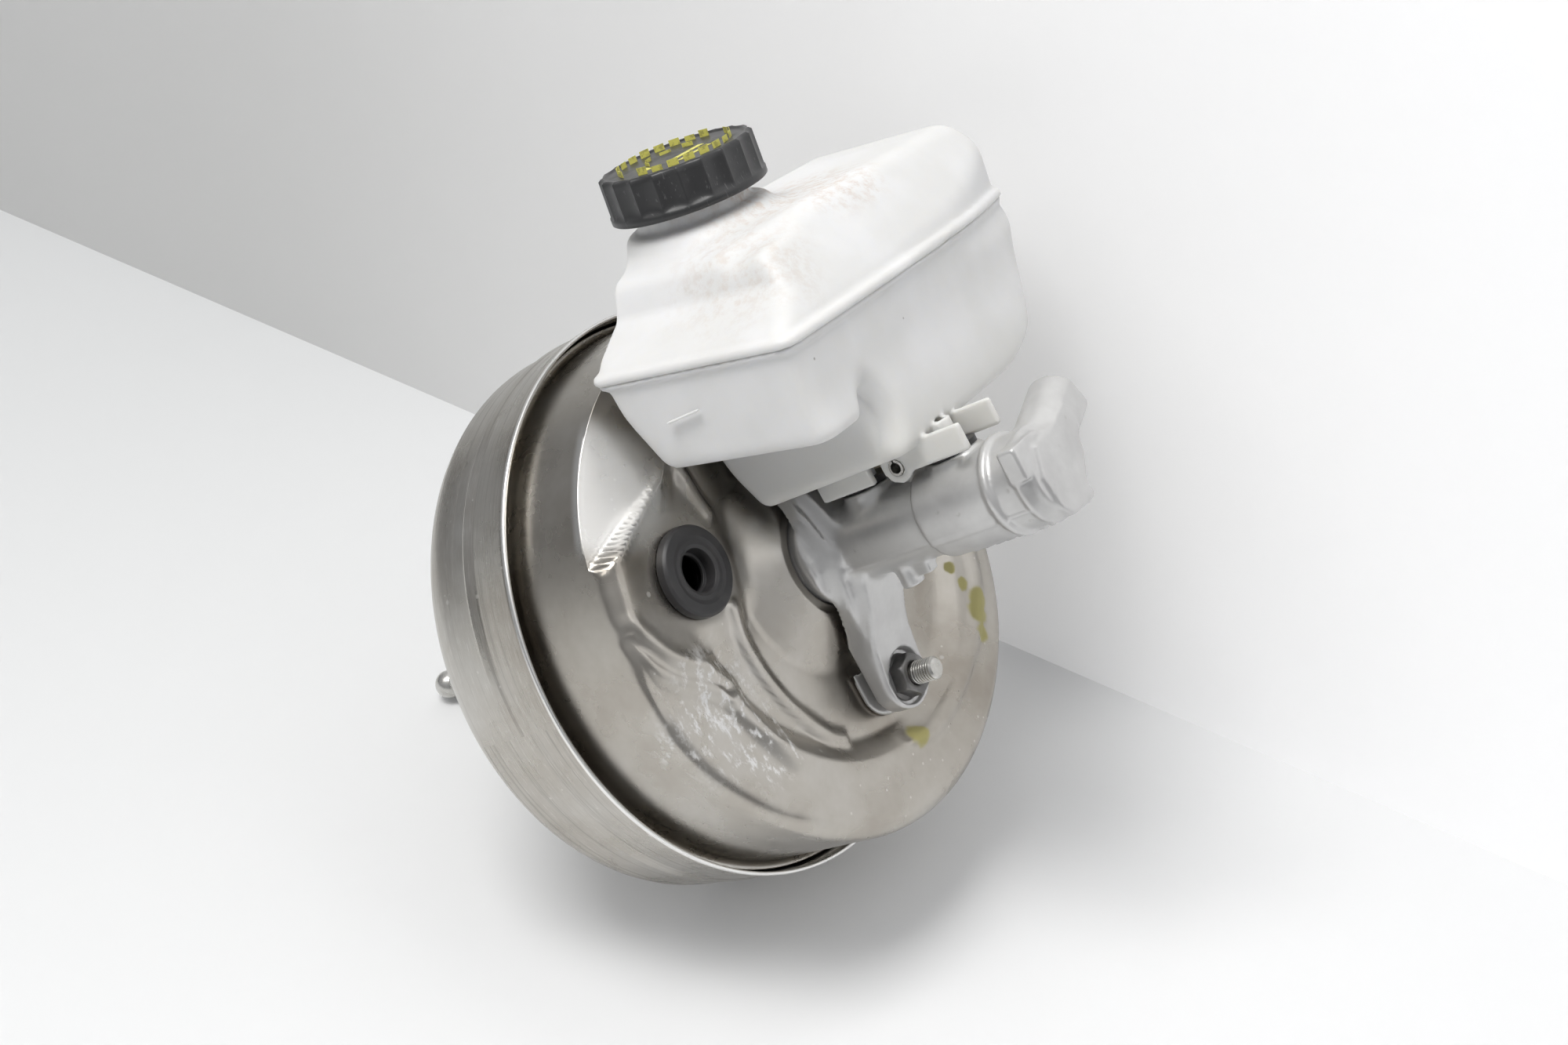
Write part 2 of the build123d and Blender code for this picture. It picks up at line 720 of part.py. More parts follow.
with BuildPart() as filter_retainer:
    revolve(ring(filter_back_x - filter_cap_t, filter_back_x, filter_hole_r, filter_bore_r), axis=Axis.X)
    with BuildSketch(front_plane.offset(filter_back_x - filter_cap_t)):
        with PolarLocations((filter_hole_r + filter_bore_r) / 2, 10):
            Circle(1.8)
    extrude(amount=filter_cap_t, mode=Mode.SUBTRACT)
finish(filter_retainer.part, "filter_retainer")

boot_fold_x = boot_sleeve_back - boot_folds * boot_fold_pitch
boot_path = [(boot_tip_x, push_rod_r + fit + boot_wall), (boot_tip_x + boot_tip_length,
             push_rod_r + fit + boot_wall), (boot_fold_x - 4, boot_root_r)]
for fold in range(boot_folds):
    fold_x = boot_fold_x + fold * boot_fold_pitch
    boot_path += [(fold_x + boot_fold_pitch / 2, boot_fold_r), (fold_x + boot_fold_pitch, boot_root_r)]
boot_path[-1] = (boot_sleeve_back, collar_r + boot_wall)
boot_path.append((boot_sleeve_front, collar_r + boot_wall))

with BuildPart() as dust_boot:
    revolve(band(boot_path, 1.2, boot_wall), axis=Axis.X)
finish(dust_boot.part, "dust_boot")

# Master cylinder ---------------------------------------------------------------------------------

side_plane = Plane.XZ        # sketches on it are (x, z) and extrude towards -Y
arm_end_z = pcd / 2 + arm_half_width
front_port_axis = Vector(*front_port_dir).normalized()
front_port_face = Vector(*front_port_root) + front_port_axis * front_port_length
front_port_plane = Plane(origin=front_port_face, z_dir=front_port_axis)
rear_port_plane = Plane(origin=(rear_port_x, rear_port_end_y, rear_port_z), z_dir=(0, 1, 0))
inlet_points = [(rear_inlet_x, 0), (front_inlet_x, 0)]

with BuildPart() as master_cylinder_body:
    with BuildSketch(front_plane.offset(arm_back_x)):
        Circle(hub_flange_r)
        with Locations(*tie_points):
            Circle(arm_half_width)
        make_hull()
    extrude(amount=flange_front_x - arm_back_x)
    with BuildSketch(side_plane.offset(-hub_flange_r)):
        with BuildLine():
            Polyline((arm_back_x, arm_end_z), (arm_front_x, arm_end_z), (arm_front_x, arm_front_flat_z),
                     (flange_front_x, flange_front_z), (flange_front_x, -flange_front_z),
                     (arm_front_x, -arm_front_flat_z), (arm_front_x, -arm_end_z),
                     (arm_back_x, -arm_end_z), (arm_back_x, -valley_inner_r - arm_relief),
                     (hub_x, -hub_r - arm_relief), (hub_x, hub_r + arm_relief),
                     (arm_back_x, valley_inner_r + arm_relief), close=True)
        make_face()
    extrude(amount=2 * hub_flange_r, mode=Mode.INTERSECT)
    revolve(ring(spigot_back_x, hub_x, 0, hub_neck_r - spigot_clear), axis=Axis.X)
    revolve(ring(hub_x, front_barrel_x, 0, barrel_r), axis=Axis.X)
    revolve(ring(front_barrel_x, barrel_end_x, 0, front_barrel_r), axis=Axis.X)
    revolve(ring(barrel_end_x, nose_end_x, 0, nose_r), axis=Axis.X)
    fillet(master_cylinder_body.edges().filter_by(GeomType.CIRCLE).group_by(Axis.X)[-1], nose_edge_r)
    with BuildSketch(Plane.XY):
        with Locations(*inlet_points):
            Circle(boss_r)
    extrude(amount=boss_top_z)
    with BuildSketch(side_plane.offset(-ear_half_width)):
        with Locations((pin_x, pin_z)):
            Circle(ear_r)
        with Locations((pin_x, pin_z / 2)):
            Rectangle(2 * ear_r, pin_z)
    extrude(amount=2 * ear_half_width)
    with BuildSketch(Plane(origin=front_port_root, z_dir=front_port_axis)):
        Circle(front_port_r)
    extrude(amount=front_port_length)
    with BuildSketch(front_plane.offset(nose_end_x)):
        Rectangle(2 * front_port_length, 2 * front_port_length)
    extrude(amount=front_port_r, mode=Mode.SUBTRACT)
    with BuildSketch(rear_port_plane):
        Circle(port_boss_r)
    extrude(amount=-rear_port_end_y)
    with BuildSketch(side_plane.offset(-pad_y)):
        with Locations((pad_x, pad_z)):
            RectangleRounded(pad_length, pad_height, 1.5)
    extrude(amount=pad_y)
    with BuildSketch(Plane.XY.offset(lug_bottom_z)):
        with Locations((lug_x, lug_y)):
            Circle(lug_r)
    extrude(amount=-lug_bottom_z)
    with BuildSketch(front_plane.offset(arm_back_x - 1)):
        with Locations(*tie_points):
            Circle(front_thread_r + bolt_clear)
    extrude(amount=flange_front_x - arm_back_x + 2, mode=Mode.SUBTRACT)
    revolve(ring(spigot_back_x, bore_end_x, 0, bore_r), axis=Axis.X, mode=Mode.SUBTRACT)
    revolve(ring(spigot_back_x, spigot_back_x + mouth_depth, 0, mouth_r), axis=Axis.X,
            mode=Mode.SUBTRACT)
    revolve(ring(circlip_x, circlip_x + circlip_t, 0, circlip_groove_r), axis=Axis.X,
            mode=Mode.SUBTRACT)
    revolve(ring(oring_x, oring_x + oring_width, hub_neck_r - oring_groove, hub_neck_r + 1), axis=Axis.X,
            mode=Mode.SUBTRACT)
    with BuildSketch(Plane.XY.offset(inlet_floor_z)):
        with Locations(*inlet_points):
            Circle(inlet_r)
    extrude(amount=boss_top_z, mode=Mode.SUBTRACT)
    with BuildSketch(Plane.XY):
        with Locations(*inlet_points):
            Circle(feed_hole_r)
    extrude(amount=boss_top_z, mode=Mode.SUBTRACT)
    with BuildSketch(side_plane.offset(-ear_half_width)):
        with Locations((pin_x, pin_z)):
            Circle(pin_r)
    extrude(amount=2 * ear_half_width, mode=Mode.SUBTRACT)
    for port_plane in (front_port_plane, rear_port_plane):
        with BuildSketch(port_plane):
            Circle(port_thread_r)
        extrude(amount=-port_depth, mode=Mode.SUBTRACT)
        with BuildSketch(port_plane):
            Circle(feed_hole_r)
        extrude(amount=-rear_port_end_y, mode=Mode.SUBTRACT)
finish(master_cylinder_body.part, "master_cylinder_body")

with BuildPart() as flange_oring:
    revolve(ring(oring_x, oring_x + oring_width, hub_neck_r - oring_groove, hub_neck_r), axis=Axis.X)
finish(flange_oring.part, "flange_oring")

piston_r = bore_r - fit

with BuildPart() as primary_piston:
    revolve(ring(primary_back_x, primary_front_x, 0, piston_r), axis=Axis.X)
    revolve(ring(primary_back_x, primary_back_x + primary_socket_depth, 0, primary_socket_r),
            axis=Axis.X, mode=Mode.SUBTRACT)
    revolve(ring(primary_cavity_x, primary_front_x, 0, primary_cavity_r), axis=Axis.X,
            mode=Mode.SUBTRACT)
    for cup_x in cup_positions:
        revolve(ring(cup_x, cup_x + cup_width, piston_r - cup_depth, piston_r), axis=Axis.X,
                mode=Mode.SUBTRACT)
finish(primary_piston.part, "primary_piston")

with BuildPart() as primary_seals:
    for cup_x in cup_positions:
        revolve(ring(cup_x, cup_x + cup_width, piston_r - cup_depth, piston_r), axis=Axis.X)
finish(primary_seals.part, "primary_seals")

with BuildPart() as secondary_piston:
    revolve(ring(secondary_back_x, secondary_front_x, 0, piston_r), axis=Axis.X)
    revolve(ring(secondary_cavity_x, secondary_front_x, 0, primary_cavity_r), axis=Axis.X,
            mode=Mode.SUBTRACT)
    for cup_x in secondary_cup_positions:
        revolve(ring(cup_x, cup_x + cup_width, piston_r - cup_depth, piston_r), axis=Axis.X,
                mode=Mode.SUBTRACT)
finish(secondary_piston.part, "secondary_piston")

with BuildPart() as secondary_seals:
    for cup_x in secondary_cup_positions:
        revolve(ring(cup_x, cup_x + cup_width, piston_r - cup_depth, piston_r), axis=Axis.X)
finish(secondary_seals.part, "secondary_seals")

primary_spring = coil(primary_cavity_x, secondary_back_x, piston_spring_coil_r, piston_spring_wire_r,
                      piston_spring_turns)
finish(primary_spring, "primary_spring")

secondary_spring = coil(secondary_cavity_x, bore_end_x, piston_spring_coil_r, piston_spring_wire_r,
                        piston_spring_turns)
finish(secondary_spring, "secondary_spring")

with BuildPart() as piston_guide:
    revolve(ring(guide_x, guide_x + guide_t, bore_r, mouth_r), axis=Axis.X)
finish(piston_guide.part, "piston_guide")

with BuildPart() as circlip:
    with BuildSketch(front_plane.offset(circlip_x)):
        Circle(circlip_groove_r)
        Circle(circlip_in_r, mode=Mode.SUBTRACT)
        with Locations((0, -circlip_groove_r)):
            Rectangle(circlip_gap, circlip_groove_r - circlip_in_r + circlip_gap, mode=Mode.SUBTRACT)
    extrude(amount=circlip_t)
finish(circlip.part, "circlip")

# Reservoir ---------------------------------------------------------------------------------------

seam_along = Vector(1, 0, -seam_fall).normalized()
seam_up = Vector(seam_fall, 0, 1).normalized()
seam_origin = Vector(seam_x, 0, seam_z)
seam_plane = Plane(origin=seam_origin, x_dir=seam_along, z_dir=seam_up)
roof_plane = Plane(origin=seam_origin - seam_along * res_length, x_dir=(0, 1, 0), z_dir=seam_along)
far_plane = Plane(origin=seam_origin + Vector(0, far_y, 0), x_dir=seam_along, z_dir=(0, -1, 0))
cap_direction = Vector(*cap_axis).normalized()
cap_plane = Plane(origin=cap_top, z_dir=cap_direction)
neck_top = -cap_top_t - seal_slack - seal_t - gap - strainer_rim_t
res_width = far_y - near_y
spare = 4                    # how far tool bodies run past what they cut


def seam_height(x):
    """Height of the seam at x."""
    return seam_z + seam_fall * (seam_x - x)


def shell_room(inset):
    """Space that the reservoir leaves free for the booster, plus inset."""
    with BuildPart() as room:
        revolve(ring(rim_x, front_face_x + shell_gap + inset, 0, wall_r + shell_gap + inset), axis=Axis.X)
    return room.part


def outline(inset):
    """Reservoir seen square to the seam, inside the flange's edge by inset."""
    with BuildSketch(seam_plane) as plan:
        with BuildLine():
            FilletPolyline((-res_length + inset, near_y + inset), (-inset, near_y + inset),
                           (-inset, kink_y), (-kink_in - inset, far_kink_y),
                           (-far_in - inset, far_y - inset), (-res_length + inset, far_y - inset),
                           radius=(near_corner_r - inset, near_corner_r - inset, kink_r, kink_r,
                                   far_corner_r - inset, far_corner_r - inset), close=True)
        make_face()
    return plan.sketch


def tub(inset):
    """Lower half without its flange, with every wall moved in by inset."""
    top = seam_height(seam_x - res_length) + corner_r
    floor_z = deep_bottom_z + inset
    with BuildPart() as form:
        with BuildSketch(side_plane.offset(-far_y - spare)):
            with BuildLine():
                FilletPolyline((rear_top_x + inset, top + spare), (rear_knee_x + inset, rear_knee_z),
                               (rear_foot_x + inset, floor_z), (seam_x, floor_z),
                               (seam_x, top + spare), radius=(0, corner_r, corner_r, 0, 0), close=True)
            make_face()
        extrude(amount=res_width + 2 * spare)
        with BuildSketch(front_plane.offset(seam_x - res_length - spare)):
            with BuildLine():
                FilletPolyline((deep_near_y + inset, top), (deep_near_y + inset, 0), (floor_end_y, 0),
                               (far_bend_y - inset, far_bend_z + inset),
                               (far_y - far_top_in - inset, far_top_z + inset), (far_y - inset, top),
                               radius=(0, 0, 4 * corner_r, 2 * corner_r, 2 * corner_r, 0), close=True)
            make_face()
        extrude(amount=res_length + 2 * spare, mode=Mode.INTERSECT)
        with BuildSketch(side_plane.offset(-wing_inner_y)):
            with BuildLine():
                FilletPolyline((rear_knee_x + inset, top + 1),
                               (wing_foot_x + inset, seam_height(wing_foot_x) - wing_depth + inset),
                               (seam_x, seam_z - wing_depth + inset), (seam_x, top + 1),
                               radius=(0, corner_r, 0, 0), close=True)
            make_face()
        extrude(amount=wing_inner_y - near_y - flange_out - inset)
        extrude(outline(flange_out + inset), amount=-seam_z, both=True, mode=Mode.INTERSECT)
        with BuildSketch(side_plane.offset(-tunnel_half - inset)):
            with BuildLine():
                Polyline((rim_x, 0), (tunnel_x + inset, 0), (tunnel_x + inset, tunnel_z + inset),
                         (rim_x, tunnel_z + inset), close=True)
            make_face()
        extrude(amount=2 * (tunnel_half + inset), mode=Mode.SUBTRACT)
        add(shell_room(inset), mode=Mode.SUBTRACT)
        split(bisect_by=seam_plane, keep=Keep.BOTTOM)
    return form.part


def roof(inset):
    """Upper half without its flange, with every wall moved in by inset."""
    near = near_y + flange_out + inset
    far = far_y - flange_out - inset
    rear = -res_length + flange_out + inset
    front = -flange_out - inset
    slope_in = inset / 2
    with BuildPart() as form:
        with BuildSketch(roof_plane):
            with BuildLine():
                FilletPolyline((near, -spare / 2), (near, skirt_foot_h),
                               (skirt_crease_y + inset, skirt_crease_h - slope_in),
                               (roof_near_y + slope_in, roof_h - inset),
                               (far_y - roof_far_in - inset, roof_h - inset), (far, roof_far_h),
                               (far, -spare / 2), radius=(0, 4, 8, 6, 12, 8, 0), close=True)
            make_face()
        extrude(amount=res_length + spare / 2)
        with BuildSketch(far_plane.offset(-spare)):
            with BuildLine():
                FilletPolyline((rear, -spare), (rear, roof_h - inset),
                               (roof_front_u - slope_in, roof_h - inset),
                               (-brow_in - slope_in, brow_h - slope_in), (front, skirt_foot_h),
                               (front, -spare), radius=(0, 8, 14, 6, 1, 0), close=True)
            make_face()
        extrude(amount=res_width + 2 * spare, mode=Mode.INTERSECT)
        extrude(outline(flange_out + inset), amount=roof_h + spare, mode=Mode.INTERSECT)
        add(shell_room(inset), mode=Mode.SUBTRACT)
    return form.part


lower_form = tub(0)
lower_hollow = tub(res_wall)
upper_form = roof(0)
upper_hollow = roof(res_wall)

with BuildPart() as reservoir_lower:
    add(lower_form)
    extrude(outline(0), amount=-flange_t / 2)
    add(shell_room(0), mode=Mode.SUBTRACT)
    add(lower_hollow, mode=Mode.SUBTRACT)
    for rail in (rear_rail, front_rail):
        for side in (-1, 1):
            with BuildSketch(side_plane.offset(-side * (rail_y - rail_t / 2) - rail_t / 2)):
                with BuildLine():
                    Polyline((rail[0], rail_z), (rail[1], rail_z), (rail[1], deep_bottom_z + 1),
                             (rail[0], deep_bottom_z + 1), close=True)
                make_face()
            extrude(amount=rail_t)
    for side in (-1, 1):
        with BuildSketch(side_plane.offset(-side * (rail_y - rail_t / 2) - rail_t / 2)):
            with Locations((pin_x, pin_z)):
                Circle(pin_lug_r)
            with Locations((pin_x, (pin_z + deep_bottom_z + 1) / 2)):
                Rectangle(2 * pin_lug_r, deep_bottom_z + 1 - pin_z)
        extrude(amount=rail_t)
        with BuildSketch(side_plane.offset(-side * (rail_y - rail_t / 2) - rail_t / 2)):
            with Locations((pin_x, pin_z)):
                Circle(pin_r)
        extrude(amount=rail_t, mode=Mode.SUBTRACT)
    with BuildSketch(Plane.XY.offset(spout_end_z)):
        with Locations(*inlet_points):
            Circle(spout_r)
    extrude(amount=deep_bottom_z + res_wall - spout_end_z)
    with BuildSketch(Plane.XY.offset(spout_end_z)):
        with Locations(*inlet_points):
            Circle(spout_hole_r)
    extrude(amount=deep_bottom_z + res_wall + 1 - spout_end_z, mode=Mode.SUBTRACT)
    with BuildSketch(Plane.XY.offset(deep_bottom_z + res_wall / 2)):
        with Locations((float_x, float_y)):
            Circle(post_r)
    extrude(amount=float_top_z + 4 - deep_bottom_z)
finish(reservoir_lower.part, "reservoir_lower")

with BuildPart() as reservoir_upper:
    add(upper_form)
    extrude(outline(0), amount=flange_t / 2)
    add(shell_room(0), mode=Mode.SUBTRACT)
    with BuildSketch(cap_plane.offset(neck_top)):
        Circle(neck_r)
    extrude(amount=-neck_length)
    add(upper_hollow, mode=Mode.SUBTRACT)
    with BuildSketch(cap_plane.offset(neck_top)):
        Circle(neck_hole_r)
    extrude(amount=-40, mode=Mode.SUBTRACT)
finish(reservoir_upper.part, "reservoir_upper")

with BuildPart() as reservoir_grommets:
    with BuildSketch(Plane.XY.offset(inlet_floor_z)):
        with Locations(*inlet_points):
            Circle(inlet_r)
    extrude(amount=boss_top_z - inlet_floor_z)
    with BuildSketch(Plane.XY.offset(boss_top_z)):
        with Locations(*inlet_points):
            Circle(bush_flange_r)
    extrude(amount=bush_flange_t)
    with BuildSketch(Plane.XY.offset(inlet_floor_z)):
        with Locations(*inlet_points):
            Circle(spout_r)
    extrude(amount=boss_top_z, mode=Mode.SUBTRACT)
finish(reservoir_grommets.part, "reservoir_grommets")

with BuildPart() as reservoir_pin:
    with BuildSketch(side_plane.offset(-pin_half_length)):
        with Locations((pin_x, pin_z)):
            Circle(pin_r)
            Circle(pin_r - pin_wall, mode=Mode.SUBTRACT)
        with Locations((pin_x, pin_z + pin_r)):
            Rectangle(0.8, 2 * pin_wall + 0.4, mode=Mode.SUBTRACT)
    extrude(amount=2 * pin_half_length)
finish(reservoir_pin.part, "reservoir_pin")

seal_z = neck_top + strainer_rim_t + gap

with BuildPart() as cap:
    with BuildSketch(cap_plane.offset(-cap_height)):
        Circle(cap_r)
    extrude(amount=cap_height)
    chamfer(cap.edges().filter_by(GeomType.CIRCLE).sort_by(Axis(cap_top, cap_axis))[-1], cap_chamfer)
    with BuildSketch(cap_plane.offset(-cap_height + cap_skirt_h)):
        with PolarLocations(cap_r + flute_r - flute_depth, cap_flutes):
            Circle(flute_r)
    extrude(amount=cap_height, mode=Mode.SUBTRACT)
    with BuildSketch(cap_plane.offset(-cap_height)):
        Circle(cap_bore_r)
    extrude(amount=cap_height - cap_top_t, mode=Mode.SUBTRACT)
finish(cap.part, "cap")

with BuildPart() as cap_seal:
    with BuildSketch(cap_plane.offset(seal_z)):
        Circle(cap_bore_r - gap)
        Circle(neck_hole_r - 1, mode=Mode.SUBTRACT)
    extrude(amount=seal_t)
finish(cap_seal.part, "cap_seal")

with BuildPart() as strainer:
    with BuildSketch(cap_plane.offset(neck_top - strainer_depth)):
        Circle(strainer_r)
    extrude(amount=strainer_depth)
    with BuildSketch(cap_plane.offset(neck_top)):
        Circle(neck_r - 0.5)
    extrude(amount=strainer_rim_t)
    with BuildSketch(cap_plane.offset(neck_top - strainer_depth + strainer_wall)):
        Circle(strainer_r - strainer_wall)
    extrude(amount=strainer_depth, mode=Mode.SUBTRACT)
    with BuildSketch(cap_plane.offset(neck_top - strainer_depth + strainer_slot_z)):
        with PolarLocations(strainer_r, strainer_slots):
            Rectangle(6 * strainer_wall, strainer_slot_w)
    extrude(amount=strainer_slot_h, mode=Mode.SUBTRACT)
finish(strainer.part, "strainer")

with BuildPart() as level_float:
    with BuildSketch(Plane.XY.offset(float_top_z - float_t)):
        with Locations((float_x, float_y)):
            Circle(float_r)
            Circle(float_hole_r, mode=Mode.SUBTRACT)
    extrude(amount=float_t)
    fillet(level_float.edges().filter_by(GeomType.CIRCLE).sort_by(SortBy.RADIUS)[-2:], 2)
finish(level_float.part, "level_float")
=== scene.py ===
import json
import math

import bmesh
import bpy
import numpy as np
from mathutils import Matrix, Vector

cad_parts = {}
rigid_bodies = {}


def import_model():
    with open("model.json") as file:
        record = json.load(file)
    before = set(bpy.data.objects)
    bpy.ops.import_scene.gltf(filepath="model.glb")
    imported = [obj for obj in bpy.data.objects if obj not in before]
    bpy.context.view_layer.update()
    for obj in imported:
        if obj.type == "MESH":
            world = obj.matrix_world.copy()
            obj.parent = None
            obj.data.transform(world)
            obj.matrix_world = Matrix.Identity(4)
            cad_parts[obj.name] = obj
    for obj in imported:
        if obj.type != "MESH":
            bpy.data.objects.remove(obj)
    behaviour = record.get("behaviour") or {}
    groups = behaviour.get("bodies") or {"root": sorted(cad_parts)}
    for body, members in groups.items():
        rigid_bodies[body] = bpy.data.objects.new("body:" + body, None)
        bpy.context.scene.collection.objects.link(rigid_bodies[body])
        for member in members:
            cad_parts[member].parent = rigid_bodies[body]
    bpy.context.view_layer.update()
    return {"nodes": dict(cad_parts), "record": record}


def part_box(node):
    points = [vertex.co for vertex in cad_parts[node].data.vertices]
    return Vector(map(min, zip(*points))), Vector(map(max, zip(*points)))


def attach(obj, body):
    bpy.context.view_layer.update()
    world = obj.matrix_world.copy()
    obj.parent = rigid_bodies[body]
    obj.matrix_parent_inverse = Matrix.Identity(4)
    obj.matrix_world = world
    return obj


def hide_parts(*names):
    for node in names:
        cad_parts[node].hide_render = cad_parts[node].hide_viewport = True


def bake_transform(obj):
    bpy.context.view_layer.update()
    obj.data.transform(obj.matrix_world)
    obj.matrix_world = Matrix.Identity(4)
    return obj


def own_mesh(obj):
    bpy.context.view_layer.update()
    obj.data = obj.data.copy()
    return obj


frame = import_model()
scene = bpy.context.scene
mm, metre = 0.001, 1000.0     # a mm in m, a metre in mm
# places that several pieces share, in mm
capTop, capWay = (150.0, 2.0, 177.4), (0.225, -0.05, 0.973)
grommetAt = (-74.2, 27.7)     # y, z
pinAt = (188.6, 26)           # x, z
inletX = (160.0, 206.5)
boltZ = 65
print("stage: frame loaded with", len(frame["nodes"]), "nodes")


def unit(v):
    v = np.array(v, float)
    return v / np.linalg.norm(v)


def show(name, data):
    made = bpy.data.objects.new(name, data)
    scene.collection.objects.link(made)
    return made


# camera
cameraSet = {
    "place": (666.1, -632.3, 152.4),     # mm
    "right": (0.709, 0.525, -0.471),
    "up": (0.266, 0.419, 0.868),
    "lens": 45.0,
    "sensor": 36.0,
    "clip": (0.01, 50),                  # m
}


def makeCamera(s):
    right = unit(s["right"])
    back = unit(np.cross(right, s["up"]))
    up = np.cross(back, right)
    place = np.array(s["place"]) * mm
    data = bpy.data.cameras.new("viewCamera")
    data.lens = s["lens"]
    data.sensor_width = s["sensor"]
    data.clip_start, data.clip_end = s["clip"]
    cam = show("viewCamera", data)
    cam.matrix_world = Matrix([[right[i], up[i], back[i], place[i]] for i in range(3)] + [[0, 0, 0, 1]])
    scene.camera = cam


makeCamera(cameraSet)
scene.view_settings.view_transform = "Standard"


# node helpers
class Net:
    # a node tree, filled through one method
    def __init__(self, tree):
        self.tree = tree
        tree.nodes.clear()

    def node(self, kind, settings=None, sockets=None):
        made = self.tree.nodes.new(kind)
        for key, value in (settings or {}).items():
            if key == "stops":
                ramp = made.color_ramp
                while len(ramp.elements) < len(value):
                    ramp.elements.new(0.5)
                for stop, (at, colour) in zip(ramp.elements, value):
                    stop.position = at
                    stop.color = (*colour, 1.0)
            else:
                setattr(made, key, value)
        for key, value in (sockets or {}).items():
            self.feed(made.inputs[key], value)
        return made

    def feed(self, socket, value):
        # a value, a number, a socket, or a node's first output
        if isinstance(value, Num):
            value = value.socket
        if isinstance(value, bpy.types.Node):
            value = value.outputs[0]
        if isinstance(value, bpy.types.NodeSocket):
            self.tree.links.new(value, socket)
        elif socket.type == "RGBA":
            socket.default_value = (*value, 1.0)
        else:
            socket.default_value = value


class Num:
    # a number socket that takes part in sums
    def __init__(self, shade, socket):
        self.shade = shade
        self.socket = socket

    def __add__(self, other):
        return self.shade.math("ADD", self, other)

    def __sub__(self, other):
        return self.shade.math("SUBTRACT", self, other)

    def __rsub__(self, other):
        return self.shade.math("SUBTRACT", other, self)

    def __mul__(self, other):
        return self.shade.math("MULTIPLY", self, other)

    __radd__ = __add__
    __rmul__ = __mul__


class Shade(Net):
    # one material and its nodes
    def __init__(self, name, **fixed):
        self.mat = bpy.data.materials.new(name)
        self.mat.use_nodes = True
        super().__init__(self.mat.node_tree)
        self.skin = self.node("ShaderNodeBsdfPrincipled", {}, fixed)
        self.out = self.node("ShaderNodeOutputMaterial", {}, {"Surface": self.skin})
        self.place = self.node("ShaderNodeTexCoord").outputs["Object"]

    def number(self, key, *parts):
        # one output of a new node
        return Num(self, self.node(*parts).outputs[key])

    def math(self, operation, a, b=0.0, clamp=False):
        return self.number(0, "ShaderNodeMath", {"operation": operation, "use_clamp": clamp}, {0: a, 1: b})

    def clamp(self, a):
        return self.math("ADD", a, clamp=True)

    def step(self, a, low, high):
        # 0 below low, 1 above high, smooth between
        return self.number(0, "ShaderNodeMapRange", {"interpolation_type": "SMOOTHSTEP"},
                           {"Value": a, "From Min": low, "From Max": high})

    def noise(self, scale, detail=3.0, rough=0.5, at=None, stretch=None, shift=(0, 0, 0)):
        where = at or self.place
        if stretch or shift != (0, 0, 0):
            where = self.node("ShaderNodeMapping", {}, {
                "Vector": where, "Scale": stretch or (1, 1, 1), "Location": shift})
        return self.number(0, "ShaderNodeTexNoise", {}, {
            "Vector": where, "Scale": scale, "Detail": detail, "Roughness": rough})

    def specks(self, scale, size, chance):
        # round spots in a share of the cells, 1 in the middle of a spot
        cell = self.node("ShaderNodeTexVoronoi", {}, {"Vector": self.place, "Scale": scale})
        lot = self.number(0, "ShaderNodeSeparateColor", {}, {0: cell.outputs["Color"]})
        spot = 1 - self.step(cell.outputs["Distance"], size * 0.5, size)
        return spot * self.math("LESS_THAN", lot, chance)

    def axes(self):
        parts = self.node("ShaderNodeSeparateXYZ", {}, {0: self.place})
        return [Num(self, parts.outputs[i]) for i in range(3)]

    def vector(self, x, y, z):
        return self.node("ShaderNodeCombineXYZ", {}, {0: x, 1: y, 2: z})

    def away(self, point):
        # distance from a point in mm
        return metre * self.number("Value", "ShaderNodeVectorMath", {"operation": "DISTANCE"}, {
            0: self.place, 1: [v * mm for v in point]})

    def mix(self, share, a, b):
        # colour a where share is 0, b where it is 1
        made = self.node("ShaderNodeMix", {"data_type": "RGBA"}, {0: share, 6: a, 7: b})
        return made.outputs[2]

    def ramp(self, value, *stops):
        return self.node("ShaderNodeValToRGB", {"stops": stops}, {0: value})

    def bump(self, height, strength, distance):
        return self.node("ShaderNodeBump", {}, {
            "Height": height, "Strength": strength, "Distance": distance})

    def set(self, **values):
        for key, value in values.items():
            self.feed(self.skin.inputs[key.replace("_", " ")], value)
        return self.mat


# finishes: tones, and places in mm
shellLook = {
    "tones": ((0.33, (0.34, 0.31, 0.27)), (0.5, (0.45, 0.425, 0.385)), (0.68, (0.56, 0.545, 0.515))),
    "streak": ((0.30, 0.285, 0.265), (0.80, 0.79, 0.76)),       # dark and pale lines on the band
    "spot": (0.82, 0.81, 0.78),
    "scuff": (0.86, 0.86, 0.86),
    # painted highlight: a bright line along the rear shell's lip edge
    "lip": (0.93, 0.93, 0.92),
    # painted highlight on the pressed facet
    "facetHighlight": (0.88, 0.88, 0.87),
    "paint": (0.40, 0.36, 0.10),
    "scuffAt": ((112, -98, -24), (112, -84, -52)),
    "facetHighlightAt": (110, -88, 76),
    "paintAt": [((121, -3, -91.5), 6.72), ((121, -14, -84), 4.16), ((121, 76, -71), 7.36),
                ((121, 81, -66), 7.04), ((121, 71, -79), 5.76), ((120, 78, -56), 4.16),
                ((119, 77, -46), 3.84), ((119, 16, -58), 4.8)],
}


